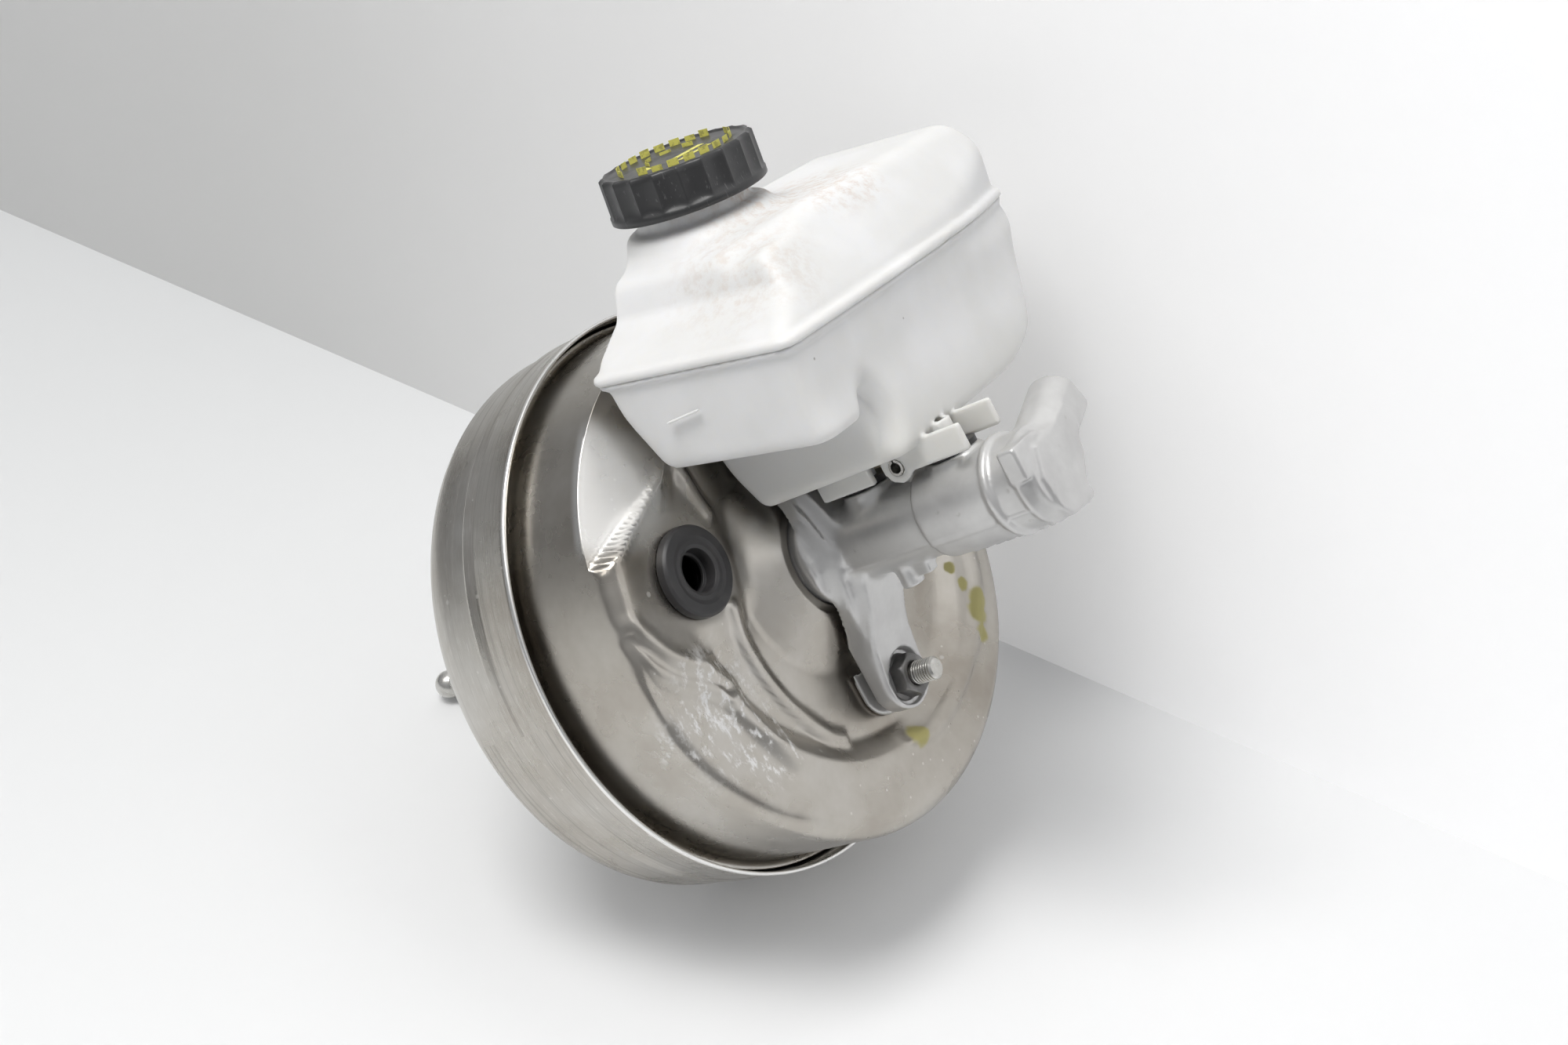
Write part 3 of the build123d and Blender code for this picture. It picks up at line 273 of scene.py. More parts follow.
def shellMetal(look):
    s = Shade("shellMetal", Metallic=1.0)
    x, y, z = s.axes()
    angle = s.math("ARCTAN2", z, y)
    reach = s.math("SQRT", y * y + z * z)
    streak = s.noise(0.55, 4, 0.6, s.vector(x * metre, angle * 1.6, reach * 400))    # along the rim
    fine = s.noise(2.6, 3, 0.6, s.vector(x * metre, angle * 5, reach * 900))
    blotch = s.noise(26, 4, 0.62)
    cloud = s.noise(9, 2, 0.5, shift=(3, 1, 2))
    tone = s.ramp(s.clamp(blotch * 0.5 + cloud * 0.5), *look["tones"])
    onBand = s.step(reach, 0.1255, 0.1275)                     # only the rear shell's band
    dark = s.step(streak, 0.52, 0.66) * onBand
    tone = s.mix(dark * 0.45, tone, look["streak"][0])
    tone = s.mix(s.step(fine, 0.56, 0.7) * onBand * 0.35, tone, look["streak"][1])
    calm = 1 - s.step(reach, 0.1222, 0.1232) * (1 - onBand)    # the groove behind the lip stays smooth
    spot = s.clamp(s.specks(95, 0.13, 0.2) + s.specks(190, 0.15, 0.14))
    tone = s.mix(spot * 0.4 * calm, tone, look["spot"])
    sideAt, lowAt = look["scuffAt"]
    side = 1 - s.step(s.away(sideAt) + s.noise(60, 3) * 26 - 13, 14, 34)
    low = 1 - s.step(s.away(lowAt) + s.noise(50, 3, shift=(1, 0, 0)) * 24 - 12, 8, 24)
    scuff = s.clamp(side + low) * s.step(s.noise(190, 5, 0.7, stretch=(1, 1.3, 0.8)), 0.5, 0.66)
    tone = s.mix(scuff * 0.8, tone, look["scuff"])
    # painted highlight along the lip's edge of the rear shell's band
    tone = s.mix(onBand * s.step(x, 0.0646, 0.0655) * 0.8, tone, look["lip"])
    facetHighlightMask = 1 - s.step(s.away(look["facetHighlightAt"]), 22, 34)    # painted highlight on the pressed facet
    tone = s.mix(facetHighlightMask * s.step(x, 0.1, 0.104) * 0.6, tone, look["facetHighlight"])
    dabs = 0.0
    for point, size in look["paintAt"]:
        dab = 1 - s.step(s.away(point) + s.noise(160, 2) * 4 - 2, size * 0.6, size)
        dabs = s.clamp(dab + dabs)
    tone = s.mix(dabs * 0.85, tone, look["paint"])
    rough = s.clamp(0.2 + blotch * 0.16 + dark * 0.16 + scuff * 0.3 + spot * 0.15 + dabs * 0.2)
    grain = s.bump((s.noise(300, 2, 0.5) * 0.25 + blotch * 0.6) * calm, 0.07, 0.0005)
    metal = 1 - s.clamp(scuff * 0.55 + dabs * 0.9)
    return s.set(Base_Color=tone, Roughness=rough, Metallic=metal, Normal=grain)


def castMetal():
    s = Shade("castMetal")
    grain = s.noise(900, 3, 0.6)
    patch = s.noise(38, 4, 0.6)
    tone = s.ramp(patch, (0.35, (0.55, 0.545, 0.54)), (0.62, (0.64, 0.638, 0.63)))
    stain = s.specks(120, 0.2, 0.22) * s.step(s.noise(240, 2), 0.42, 0.6)
    tone = s.mix(stain * 0.5, tone, (0.38, 0.37, 0.35))
    return s.set(Base_Color=tone, Roughness=s.clamp(0.27 + patch * 0.12 + grain * 0.05), Metallic=0.62,
                 Normal=s.bump(grain * 0.5 + patch * 0.4, 0.18, 0.0004))


def steel(name, light, dark, rough):
    s = Shade(name, Metallic=1.0)
    x, y, z = s.axes()
    turned = s.noise(600.0, 2, 0.6, s.vector(x, y * 0.04, z * 0.04))
    patch = s.noise(70, 3, 0.6)
    return s.set(Base_Color=s.mix(s.step(patch, 0.35, 0.65), dark, light),
                 Roughness=s.clamp(rough + turned * 0.1 + patch * 0.1 - 0.08),
                 Normal=s.bump(turned, 0.12, 0.0003))


def rubber():
    s = Shade("blackRubber")
    dust = s.step(s.noise(55, 4, 0.6), 0.48, 0.75)
    return s.set(Base_Color=s.mix(dust * 0.5, (0.030, 0.029, 0.030), (0.075, 0.072, 0.070)),
                 Roughness=s.clamp(0.42 + dust * 0.22), Normal=s.bump(s.noise(1300, 2, 0.6), 0.12, 0.0002))


def blackPlastic():
    s = Shade("blackPlastic")
    wear = s.step(s.noise(60, 4, 0.6), 0.5, 0.72)
    scratch = s.step(s.noise(260, 2, 0.7, stretch=(1, 5, 1)), 0.62, 0.7)
    tone = s.mix(wear * 0.5, (0.028, 0.028, 0.029), (0.060, 0.060, 0.061))
    tone = s.mix(scratch * 0.35, tone, (0.16, 0.16, 0.16))
    return s.set(Base_Color=tone, Roughness=s.clamp(0.36 + wear * 0.16 + scratch * 0.1),
                 Normal=s.bump(s.noise(1100, 2), 0.1, 0.0002))


def yellowPrint():
    s = Shade("yellowPrint")
    worn = s.step(s.noise(340, 3, 0.7), 0.5, 0.62)
    return s.set(Base_Color=s.mix(worn * 0.7, (0.74, 0.70, 0.16), (0.36, 0.33, 0.10)),
                 Roughness=s.clamp(0.5 + worn * 0.1))


whiteLook = {
    "tones": ((0.76, 0.755, 0.74), (0.82, 0.815, 0.81)),
    "low": (0.70, 0.695, 0.66),          # painted shade on the rails and lower parts, away from the light
    "dust": (0.56, 0.44, 0.36),
    "spot": (0.22, 0.19, 0.15),
    "faint": (0.5, 0.44, 0.36),
    "roofDust": (165, 26, 150),
    "skirtDust": (185, -38, 126),
}


def whitePlastic(look):
    s = Shade("whitePlastic")
    s.set(Subsurface_Weight=0.35, Subsurface_Scale=0.006, Subsurface_Radius=(1.0, 0.9, 0.75), IOR=1.46)
    z = s.axes()[2]
    cloud = s.noise(24, 3, 0.5)
    tone = s.mix(s.step(cloud, 0.35, 0.7), *look["tones"])
    # painted shade: darker towards the bottom, away from the light
    tone = s.mix((1 - s.step(z, 0.033, 0.062)) * 0.6, tone, look["low"])
    roof = 1 - s.step(s.away(look["roofDust"]) + s.noise(28, 3) * 40 - 20, 22, 60)
    skirt = 1 - s.step(s.away(look["skirtDust"]) + s.noise(30, 3) * 30 - 15, 12, 44)
    grit = s.step(s.noise(210, 5, 0.7), 0.42, 0.66)
    dust = s.clamp(roof * s.step(z, 0.118, 0.128) + skirt * 0.55) * grit
    tone = s.mix(dust * 0.55, tone, look["dust"])
    tone = s.mix(s.specks(62, 0.055, 0.2) * 0.7, tone, look["spot"])
    faint = s.specks(26, 0.09, 0.28) * s.step(s.noise(300, 3), 0.4, 0.6)
    tone = s.mix(faint * 0.3, tone, look["faint"])
    return s.set(Base_Color=tone, Roughness=s.clamp(0.36 + cloud * 0.1 + dust * 0.35),
                 Normal=s.bump(s.noise(900, 2) * 0.3 + cloud * 0.8, 0.1, 0.0005))


def plainPlastic(name, light, dark, rough):
    s = Shade(name)
    patch = s.noise(90, 4, 0.6)
    return s.set(Base_Color=s.mix(s.step(patch, 0.35, 0.65), dark, light),
                 Roughness=s.clamp(rough + patch * 0.12), Normal=s.bump(s.noise(900, 2), 0.12, 0.0003))


def felt():
    s = Shade("filterFelt")
    fibre = s.noise(1600, 5, 0.75, stretch=(1, 3, 3))
    tone = s.ramp(fibre, (0.35, (0.30, 0.28, 0.25)), (0.7, (0.62, 0.60, 0.55)))
    return s.set(Base_Color=tone, Roughness=0.95, Normal=s.bump(fibre, 0.7, 0.0012))


finish = {
    "shell_metal": shellMetal(shellLook),
    "plate_steel": steel("plateSteel", (0.32, 0.32, 0.33), (0.22, 0.22, 0.23), 0.5),
    "bolt_steel": steel("boltSteel", (0.66, 0.65, 0.63), (0.48, 0.47, 0.44), 0.26),
    "nut_steel": steel("nutSteel", (0.26, 0.255, 0.25), (0.15, 0.148, 0.145), 0.42),
    "black_rubber": rubber(),
    "valve_plastic": plainPlastic("valvePlastic", (0.17, 0.14, 0.12), (0.11, 0.095, 0.085), 0.42),
    "spring_steel": steel("springSteel", (0.46, 0.47, 0.49), (0.33, 0.335, 0.35), 0.3),
    "filter_felt": felt(),
    "plunger_metal": steel("plungerMetal", (0.62, 0.62, 0.63), (0.5, 0.5, 0.5), 0.28),
    "cast_aluminium": castMetal(),
    "piston_aluminium": steel("pistonAluminium", (0.68, 0.66, 0.6), (0.58, 0.565, 0.52), 0.32),
    "guide_plastic": plainPlastic("guidePlastic", (0.80, 0.79, 0.74), (0.74, 0.73, 0.68), 0.4),
    "white_plastic": whitePlastic(whiteLook),
    "black_plastic": blackPlastic(),
}
yellow = yellowPrint()
slotOf = {row["node"]: row["material_slot"] for row in frame["record"]["subparts"]}
for nodeName, nodeObject in frame["nodes"].items():
    nodeObject.data.materials.clear()
    nodeObject.data.materials.append(finish[slotOf[nodeName]])
print("stage: finishes made")


# floor, wall and light
stageSet = {
    "floorWay": (0.5868, -0.069, 0.8068),    # leaves the floor
    "floorAt": -0.0970,                      # along floorWay
    "wallWay": (0.1145, 0.9934, 0.0017),
    "wallAt": 0.19805,
    "reach": 6.0,
    # painted light: floor and wall darker to the left, paler to the right, and glowing on the paler side
    "floorTones": ((0.74, 0.75, 0.755), (0.88, 0.885, 0.89)),     # left, right
    "wallTones": ((0.66, 0.66, 0.655), (0.93, 0.93, 0.935)),
    "wallGlow": 0.26,
    "floorGlow": 0.06,
    "worldTone": (0.80, 0.81, 0.83),
    "worldLevel": 0.55,
    "worldStops": ((0.0, 0.25), (0.35, 0.32), (0.5, 0.5), (0.75, 1.0), (1.0, 1.1)),    # low to high
    "lampAim": (0.10, 0, 0.02),
}


def stageMat(name, tones, glow, along):
    # plain pale surface with painted light: paler to one side and glowing there for camera, glossy and
    # transmission rays; unseen from behind
    s = Shade(name, Roughness=0.9)
    across = s.number("Value", "ShaderNodeVectorMath", {"operation": "DOT_PRODUCT"}, {
        0: s.place, 1: tuple(along)})
    # painted light: darker to one side, paler to the other
    share = s.step(across + s.noise(3.0, 3, 0.5) * 0.08, -0.55, 0.42)
    tone = s.mix(share, *tones)
    s.set(Base_Color=tone)
    ray = s.node("ShaderNodeLightPath").outputs
    seen = s.clamp(Num(s, ray["Is Camera Ray"]) + Num(s, ray["Is Glossy Ray"])
                   + Num(s, ray["Is Transmission Ray"]))
    # painted light: a glow on the paler side for camera, glossy and transmission rays
    shine = s.node("ShaderNodeEmission", {}, {0: tone, 1: seen * share * glow})
    lit = s.node("ShaderNodeAddShader", {}, {0: s.skin, 1: shine})
    clear = s.node("ShaderNodeBsdfTransparent")
    behind = s.node("ShaderNodeNewGeometry").outputs["Backfacing"]
    s.feed(s.out.inputs["Surface"], s.node("ShaderNodeMixShader", {}, {0: behind, 1: lit, 2: clear}))
    return s.mat


def makeQuad(name, corners, way, mat):
    # one face that looks along way
    if np.cross(corners[1] - corners[0], corners[2] - corners[1]) @ way < 0:
        corners = corners[::-1]
    mesh = bpy.data.meshes.new(name)
    mesh.from_pydata([tuple(c) for c in corners], [], [(0, 1, 2, 3)])
    mesh.materials.append(mat)
    show(name, mesh)


def makeStage(s):
    # the floor ends at the wall, the wall at the floor
    toward = lambda v, way: v if v @ way > 0 else -v
    up, out = unit(s["floorWay"]), unit(s["wallWay"])
    along = toward(unit(np.cross(up, out)), np.array((1, 0, 0)))
    far = toward(np.cross(along, up), out)        # on the floor, square to the crease
    rise = toward(np.cross(along, out), up)
    foot = np.linalg.solve(np.array([up, out, along]), [s["floorAt"], s["wallAt"], 0.0])
    r = s["reach"]
    left, right = foot - along * r, foot + along * r
    makeQuad("stageFloor", [left - far * r, right - far * r, right, left], up,
             stageMat("floorPaint", s["floorTones"], s["floorGlow"], along))
    makeQuad("stageWall", [left, right, right + rise * r, left + rise * r], -out,
             stageMat("wallPaint", s["wallTones"], s["wallGlow"], along))


def makeWorld(s):
    # sky by height over the floor
    scene.world = bpy.data.worlds.new("softRoom")
    scene.world.use_nodes = True
    net = Net(scene.world.node_tree)
    place = net.node("ShaderNodeTexCoord").outputs["Generated"]
    height = net.node("ShaderNodeVectorMath", {"operation": "DOT_PRODUCT"}, {
        0: place, 1: tuple(unit(s["floorWay"]))}).outputs["Value"]
    half = net.node("ShaderNodeMath", {"operation": "MULTIPLY_ADD"}, {0: height, 1: 0.5, 2: 0.5})
    stops = [(at, [v * level for v in s["worldTone"]]) for at, level in s["worldStops"]]
    sky = net.node("ShaderNodeValToRGB", {"stops": stops}, {0: half})
    glow = net.node("ShaderNodeBackground", {}, {"Color": sky, "Strength": s["worldLevel"]})
    net.node("ShaderNodeOutputWorld", {}, {"Surface": glow})


# lamps: way from the part, distance and size in m, watts, tone
lamps = {
    "keyLamp": ((0.50, -0.42, 1.02), 1.9, 0.8, 22, (1.0, 0.99, 0.975)),
    "sideLamp": ((0.93, 0.13, 0.33), 1.7, 0.8, 3.6, (1.0, 1.0, 1.0)),
    "backLamp": ((0.05, -0.55, 0.9), 1.8, 0.7, 3, (1.0, 0.98, 0.95)),
}


def makeLamp(name, way, far, size, watts, tone):
    data = bpy.data.lights.new(name, "AREA")
    data.shape = "RECTANGLE"
    data.size = data.size_y = size
    data.energy = watts
    data.color = tone
    lamp = show(name, data)
    way = Vector(way).normalized()
    lamp.location = Vector(stageSet["lampAim"]) + way * far
    lamp.rotation_euler = way.to_track_quat("Z", "Y").to_euler()


makeStage(stageSet)
makeWorld(stageSet)
for lampName, lampRow in lamps.items():
    makeLamp(lampName, *lampRow)
print("stage: floor, wall and light set")


# mesh helpers
def makePiece(name, verts, faces, mat):
    mesh = bpy.data.meshes.new(name)
    mesh.from_pydata(np.asarray(verts, float).tolist(), [], np.asarray(faces).tolist())
    mesh.validate()
    return dress(name, mesh, mat)


def dress(name, mesh, mat):
    # faces outward, one finish, plain object at the origin
    work = bmesh.new()
    work.from_mesh(mesh)
    bmesh.ops.remove_doubles(work, verts=work.verts, dist=1e-6)
    bmesh.ops.recalc_face_normals(work, faces=work.faces)
    work.to_mesh(mesh)
    work.free()
    mesh.materials.clear()
    mesh.materials.append(mat)
    mesh.shade_smooth()
    return show(name, mesh)


def bake(piece):
    # modifiers turned into plain mesh
    graph = bpy.context.evaluated_depsgraph_get()
    mesh = bpy.data.meshes.new_from_object(piece.evaluated_get(graph))
    old = piece.data
    piece.modifiers.clear()
    piece.data = mesh
    bpy.data.meshes.remove(old)
    return piece


def fuse(name, parts, mat):
    # several meshes as one piece
    work = bmesh.new()
    for part in parts:
        work.from_mesh(part.data)
    mesh = bpy.data.meshes.new(name)
    work.to_mesh(mesh)
    work.free()
    for part in parts:
        old = part.data
        bpy.data.objects.remove(part)
        bpy.data.meshes.remove(old)
    return dress(name, mesh, mat)


def settle(piece, body, node=None):
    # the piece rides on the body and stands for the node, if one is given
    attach(piece, body)
    if node:
        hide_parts(node)
    return piece


def roundedPath(points, radii, steps=7):
    # 2D path with its inner corners rounded
    pts = [np.array(p, float) for p in points]
    out = [pts[0]]
    for a, b, c, r in zip(pts[:-2], pts[1:-1], pts[2:], radii):
        u, v = unit(a - b), unit(c - b)
        half = math.acos(max(-1, min(1, u @ v))) / 2
        reach = r / math.tan(half)
        mid = b + unit(u + v) * r / math.sin(half)
        start, end = b + u * reach - mid, b + v * reach - mid
        turn = math.atan2(start[0] * end[1] - start[1] * end[0], start @ end)
        for k in range(steps + 1):
            t = turn * k / steps
            out.append(mid + np.array([start[0] * math.cos(t) - start[1] * math.sin(t),
                                       start[0] * math.sin(t) + start[1] * math.cos(t)]))
    out.append(pts[-1])
    return np.array(out)


def offsetPath(path, amount):
    # the same path moved to its left
    way = np.gradient(path, axis=0)
    way /= np.linalg.norm(way, axis=1)[:, None]
    return path + np.stack([-way[:, 1], way[:, 0]], 1) * amount


def respace(path, step):
    # extra points on the long runs
    out = [path[0]]
    for a, b in zip(path[:-1], path[1:]):
        n = max(1, int(np.ceil(np.linalg.norm(b - a) / step)))
        out += [a + (b - a) * k / n for k in range(1, n + 1)]
    return np.array(out)


def spin(path, turns):
    # every point of the path at every turn: along, out and angle
    angles = np.arange(turns) * 2 * math.pi / turns
    return np.repeat(path[:, 0], turns), np.repeat(path[:, 1], turns), np.tile(angles, len(path))


def spinFaces(rows, cols, closed):
    i, k = np.meshgrid(np.arange(rows if closed else rows - 1), np.arange(cols), indexing="ij")
    j, m = (i + 1) % rows, (k + 1) % cols
    return np.stack([i * cols + k, j * cols + k, j * cols + m, i * cols + m], -1).reshape(-1, 4)


def lathe(name, path, turns, mat, closed=True, origin=(0, 0, 0), axis=(1, 0, 0), wobble=None):
    # path of (along, out) in mm turned about the axis through the origin
    axis = unit(axis)
    side = unit(np.cross([0, 0, 1] if abs(axis[2]) < 0.9 else [1, 0, 0], axis))
    up = np.cross(axis, side)
    path = np.asarray(path, float)
    along, out, turn = spin(path, turns)
    if wobble:
        along, out = wobble(along, out, turn)
    verts = (np.array(origin) + np.outer(along, axis) + np.outer(out * np.cos(turn), side)
             + np.outer(out * np.sin(turn), up)) * mm
    return makePiece(name, verts, spinFaces(len(path), turns, closed), mat)


def skin(name, field, low, high, step, mat):
    # smooth surface where the field is zero; inside is below zero
    axes = [np.arange(low[i], high[i] + step, step, dtype=np.float32) for i in range(3)]
    size = [len(a) for a in axes]
    value = np.empty(size, np.float32)
    deep = 24                             # layers worked out at a time
    for start in range(0, size[0], deep):
        grid = np.meshgrid(axes[0][start:start + deep], axes[1], axes[2], indexing="ij")
        value[start:start + deep] = field(*grid)
    inside = value < 0
    corner = [(i, j, k) for i in (0, 1) for j in (0, 1) for k in (0, 1)]
    part = lambda grid, c: grid[tuple(slice(c[i], size[i] - 1 + c[i]) for i in range(3))]
    count = sum(part(inside, c).astype(np.int8) for c in corner)
    cells = np.argwhere((count > 0) & (count < 8))
    index = np.full([n - 1 for n in size], -1, np.int64)
    index[tuple(cells.T)] = np.arange(len(cells))
    total = np.zeros((len(cells), 3))
    hits = np.zeros(len(cells))
    edges = [(a, b) for a in corner for b in corner if sum(b) - sum(a) == 1 and all(np.greater_equal(b, a))]
    for a, b in edges:
        va, vb = value[tuple((cells + a).T)], value[tuple((cells + b).T)]
        cross = (va < 0) != (vb < 0)
        share = np.where(cross, va / np.where(va == vb, 1, va - vb), 0)
        total += (np.array(a) + share[:, None] * np.subtract(b, a)) * cross[:, None]
        hits += cross
    verts = (np.array(low) + (cells + total / hits[:, None]) * step) * mm
    faces = []
    for axis in range(3):
        b, c = (axis + 1) % 3, (axis + 2) % 3
        ahead, behind = [slice(None)] * 3, [slice(None)] * 3
        ahead[axis], behind[axis] = slice(1, None), slice(0, -1)
        lines = np.argwhere(inside[tuple(ahead)] != inside[tuple(behind)])
        lines = lines[(lines[:, b] > 0) & (lines[:, c] > 0)
                      & (lines[:, b] < size[b] - 1) & (lines[:, c] < size[c] - 1)]
        ring = []
        for db, dc in ((0, 0), (-1, 0), (-1, -1), (0, -1)):
            cell = lines.copy()
            cell[:, b] += db
            cell[:, c] += dc
            ring.append(index[tuple(cell.T)])
        quads = np.array(ring).T
        flip = ~inside[tuple(lines.T)]
        quads[flip] = quads[flip][:, ::-1]
        faces.append(quads)
    return makePiece(name, verts, np.concatenate(faces), mat)


# field sums, all in mm: a form is below zero inside, soft is the width of a rounded join
def join(a, b, soft=0.0):
    if soft <= 0:
        return np.minimum(a, b)
    h = np.clip(0.5 + 0.5 * (b - a) / soft, 0, 1)
    return b + (a - b) * h - soft * h * (1 - h)


def meet(a, b, soft=0.0):
    return -join(-a, -b, soft)


def cut(a, b, soft=0.0):
    return meet(a, -b, soft)


def ease(v, start, end):
    # 0 at start, 1 at end, smooth between
    t = np.clip((v - start) / (end - start), 0, 1)
    return t * t * (3 - 2 * t)


def span(v, mid, half):
    # between two flat sides
    return np.abs(v - mid) - half


def tube(a, b, at, r):
    # endless cylinder seen along its axis
    return np.hypot(a - at[0], b - at[1]) - r


def axle(x, y, z, start, way):
    # distance along a line from its start, and out from it
    way = unit(way)
    px, py, pz = x - start[0], y - start[1], z - start[2]
    along = px * way[0] + py * way[1] + pz * way[2]
    return along, np.sqrt(np.maximum(px * px + py * py + pz * pz - along * along, 0))


def rod(x, y, z, start, way, length, r, soft=0.0):
    # cylinder from start along way
    along, out = axle(x, y, z, start, way)
    return meet(out - r, span(along, length / 2, length / 2), soft)


def bar(x, y, z, a, b, r):
    # round bar with domed ends
    a, way = np.array(a, float), np.subtract(b, a).astype(float)
    t = np.clip(((x - a[0]) * way[0] + (y - a[1]) * way[1] + (z - a[2]) * way[2]) / (way @ way), 0, 1)
    return np.sqrt(sum((v - a[i] - way[i] * t) ** 2 for i, v in enumerate((x, y, z)))) - r


def block(x, y, z, mid, half, soft=0.0):
    fx, fy, fz = [span(v, m, h) for v, m, h in zip((x, y, z), mid, half)]
    return meet(meet(fx, fy, soft), fz, soft)


def slope(a, b, run, inward):
    # straight wall through the run's two points, inside on the side of inward
    p, q = np.array(run, float)
    way = unit([q[1] - p[1], -(q[0] - p[0])])
    way = -way if way @ (np.array(inward) - p) > 0 else way
    return (a - p[0]) * way[0] + (b - p[1]) * way[1]


def lineDistance(y, z, line):
    best = 1e9
    for a, b in zip(line[:-1], line[1:]):
        ey, ez = b[0] - a[0], b[1] - a[1]
        t = np.clip(((y - a[0]) * ey + (z - a[1]) * ez) / (ey * ey + ez * ez), 0, 1)
        best = np.minimum(best, np.hypot(y - a[0] - ey * t, z - a[1] - ez * t))
    return best


def polyDistance(y, z, corners):
    # below zero inside the outline
    ring = [*corners, corners[0]]
    sign = np.ones(y.shape)
    for a, b in zip(ring[:-1], ring[1:]):
        above, below = z >= a[1], z < b[1]
        left = (b[0] - a[0]) * (z - a[1]) > (b[1] - a[1]) * (y - a[0])
        sign = np.where((above == below) & (below == left), -sign, sign)
    return sign * lineDistance(y, z, ring)


def curveThrough(points, n=60):
    # smooth line through a few points
    pts = np.array(points, float)
    full = np.concatenate([[2 * pts[0] - pts[1]], pts, [2 * pts[-1] - pts[-2]]])
    out = []
    for i in range(len(pts) - 1):
        p0, p1, p2, p3 = full[i:i + 4]
        for t in np.linspace(0, 1, max(4, n // (len(pts) - 1)), endpoint=False):
            out.append(0.5 * (2 * p1 + (p2 - p0) * t + (2 * p0 - 5 * p1 + 4 * p2 - p3) * t * t
                              + (3 * p1 - p0 - 3 * p2 + p3) * t ** 3))
    out.append(pts[-1])
    return np.array(out)


print("stage: helpers ready")


# pressed shells; paths are (x, distance from the axis)
rearShellSet = {
    "sheet": 1.8,
    "path": [(-24, 25.8), (0, 25.8), (0, 128.2), (36.4, 129.2), (37.6, 130.3), (44.0, 129.6),
             (66.0, 131.7)],
    "rounds": [2, 19, 1.2, 1.6, 3],
    "step": 3.0,
    "turns": 256,
    "lipAt": 0.756,           # the lip's round edge lies this far past the sheet's end
    "lipHalf": 0.5,
}
frontShellSet = {
    "sheet": 1.8,
    "path": [(58.0, 127.9), (58.0, 124.5), (118.3, 124.5), (118.3, 92), (113, 82), (113, 52),
             (123.5, 29), (123.5, 24), (114.5, 24)],
    "rounds": [3, 8, 6, 8, 10, 3, 2.2],
    "turns": 324,
    "step": 1.9,
    "faceX": 100,             # the front face lies in front of this
    "fadeX": (80, 110),       # pressed forms grow over the shoulder
    # y, z, radius, and the radius within which faces go
    "holes": [(*grommetAt, 13.4, 13.6), (0, boltZ, 5.4, 5.4), (0, -boltZ, 5.4, 5.4)],
    "holeEdge": 1.2,
    "mound": {"top": 117.0, "r": (21.5, 40.0)},
    "bulge": {"high": 2.8, "z": (-30, -90), "r": (80, 96)},
    "facet": {"at": (117.5, -66, 67), "fall": (0.30, -0.24), "edge": 0.8, "fromX": 84,
              "rim": (0.8, 1.6, 1.5),      # thin raised fold: height, distance outside, width
              "corners": [(-66, 67.3), (-108.5, 52), (-124, 46), (-124, 80), (-90, 112), (-56, 122),
                          (-46, 112), (-46, 84)]},
    "pocket": {"depth": 5.0, "edge": (2, -9), "z": (-96, -36),
               "corners": [(-123, 23), (-112, 4), (-104, -4), (-95, -11), (-86, -21), (-80, -42),
                           (-74, -66), (-92, -92), (-118, -60), (-128, -20)]},
    "fold": {"line": [(-120, 22), (-112, 6), (-104, -3), (-95, -10), (-86, -20)],
             "groove": (1.6, 0, 2.2), "ridge": (1.1, 5, 3.0)},       # height, distance, width
    "ribPower": 1.3,
    "ribs": [
        {"line": [(-62, 5), (-63, -20), (-59, -40), (-52, -55), (-45, -66), (-39, -71)],
         "wide": 5.2, "high": 2.3},
        {"line": [(-6, -92), (10, -95), (30, -92), (50, -85), (70, -75), (84, -63), (93, -50), (98, -36),
                  (100, -16)], "wide": 5.5, "high": 2.2},
        {"line": [(-48, 66), (-46.5, 43)], "wide": 5.2, "high": 2.4},
    ],
}


def makeRearShell(s):
    outer = respace(roundedPath(s["path"], s["rounds"], 9), s["step"])
    inner = offsetPath(outer, -s["sheet"])
    lip = (outer[-1] + inner[-1]) / 2 + (s["lipAt"], 0)
    edge = [lip + (0, s["lipHalf"]), lip - (0, s["lipHalf"])]
    return lathe("rearShell", np.concatenate([outer, edge, inner[::-1]]), s["turns"], finish["shell_metal"])


def swell(d, high, at, wide):
    return high * np.exp(-((d - at) / wide) ** 2)


def pressFace(x, y, z, s):
    # pockets, mound and ribs pressed into the front face
    onFace = x > s["faceX"]
    grown = ease(x, *s["fadeX"])
    p = s["facet"]
    d = polyDistance(y, z, p["corners"])
    ax, ay, az = p["at"]
    floor = ax + p["fall"][0] * (y - ay) + p["fall"][1] * (z - az)
    sunk = np.maximum(x - floor, 0) * ease(d, p["edge"], -p["edge"])
    x = np.where(x > p["fromX"], x - sunk + swell(d, *p["rim"]) * grown, x)
    p = s["pocket"]
    d = polyDistance(y, z, p["corners"])
    x = x - grown * p["depth"] * ease(z, *p["z"]) * ease(d, *p["edge"])
    d = lineDistance(y, z, curveThrough(s["fold"]["line"]))
    x = x - grown * swell(d, *s["fold"]["groove"]) + grown * swell(d, *s["fold"]["ridge"])
    p = s["bulge"]
    x = x + p["high"] * ease(z, *p["z"]) * ease(np.hypot(y, z), *p["r"]) * onFace
    p = s["mound"]
    inner, outer = p["r"]
    x = x + (p["top"] - x) * ease(tube(y, z, grommetAt, 0), outer, inner) * onFace
    for rib in s["ribs"]:
        d = lineDistance(y, z, curveThrough(rib["line"]))
        x = x + rib["high"] * np.clip(1 - (d / rib["wide"]) ** 2, 0, 1) ** s["ribPower"] * onFace
    return x


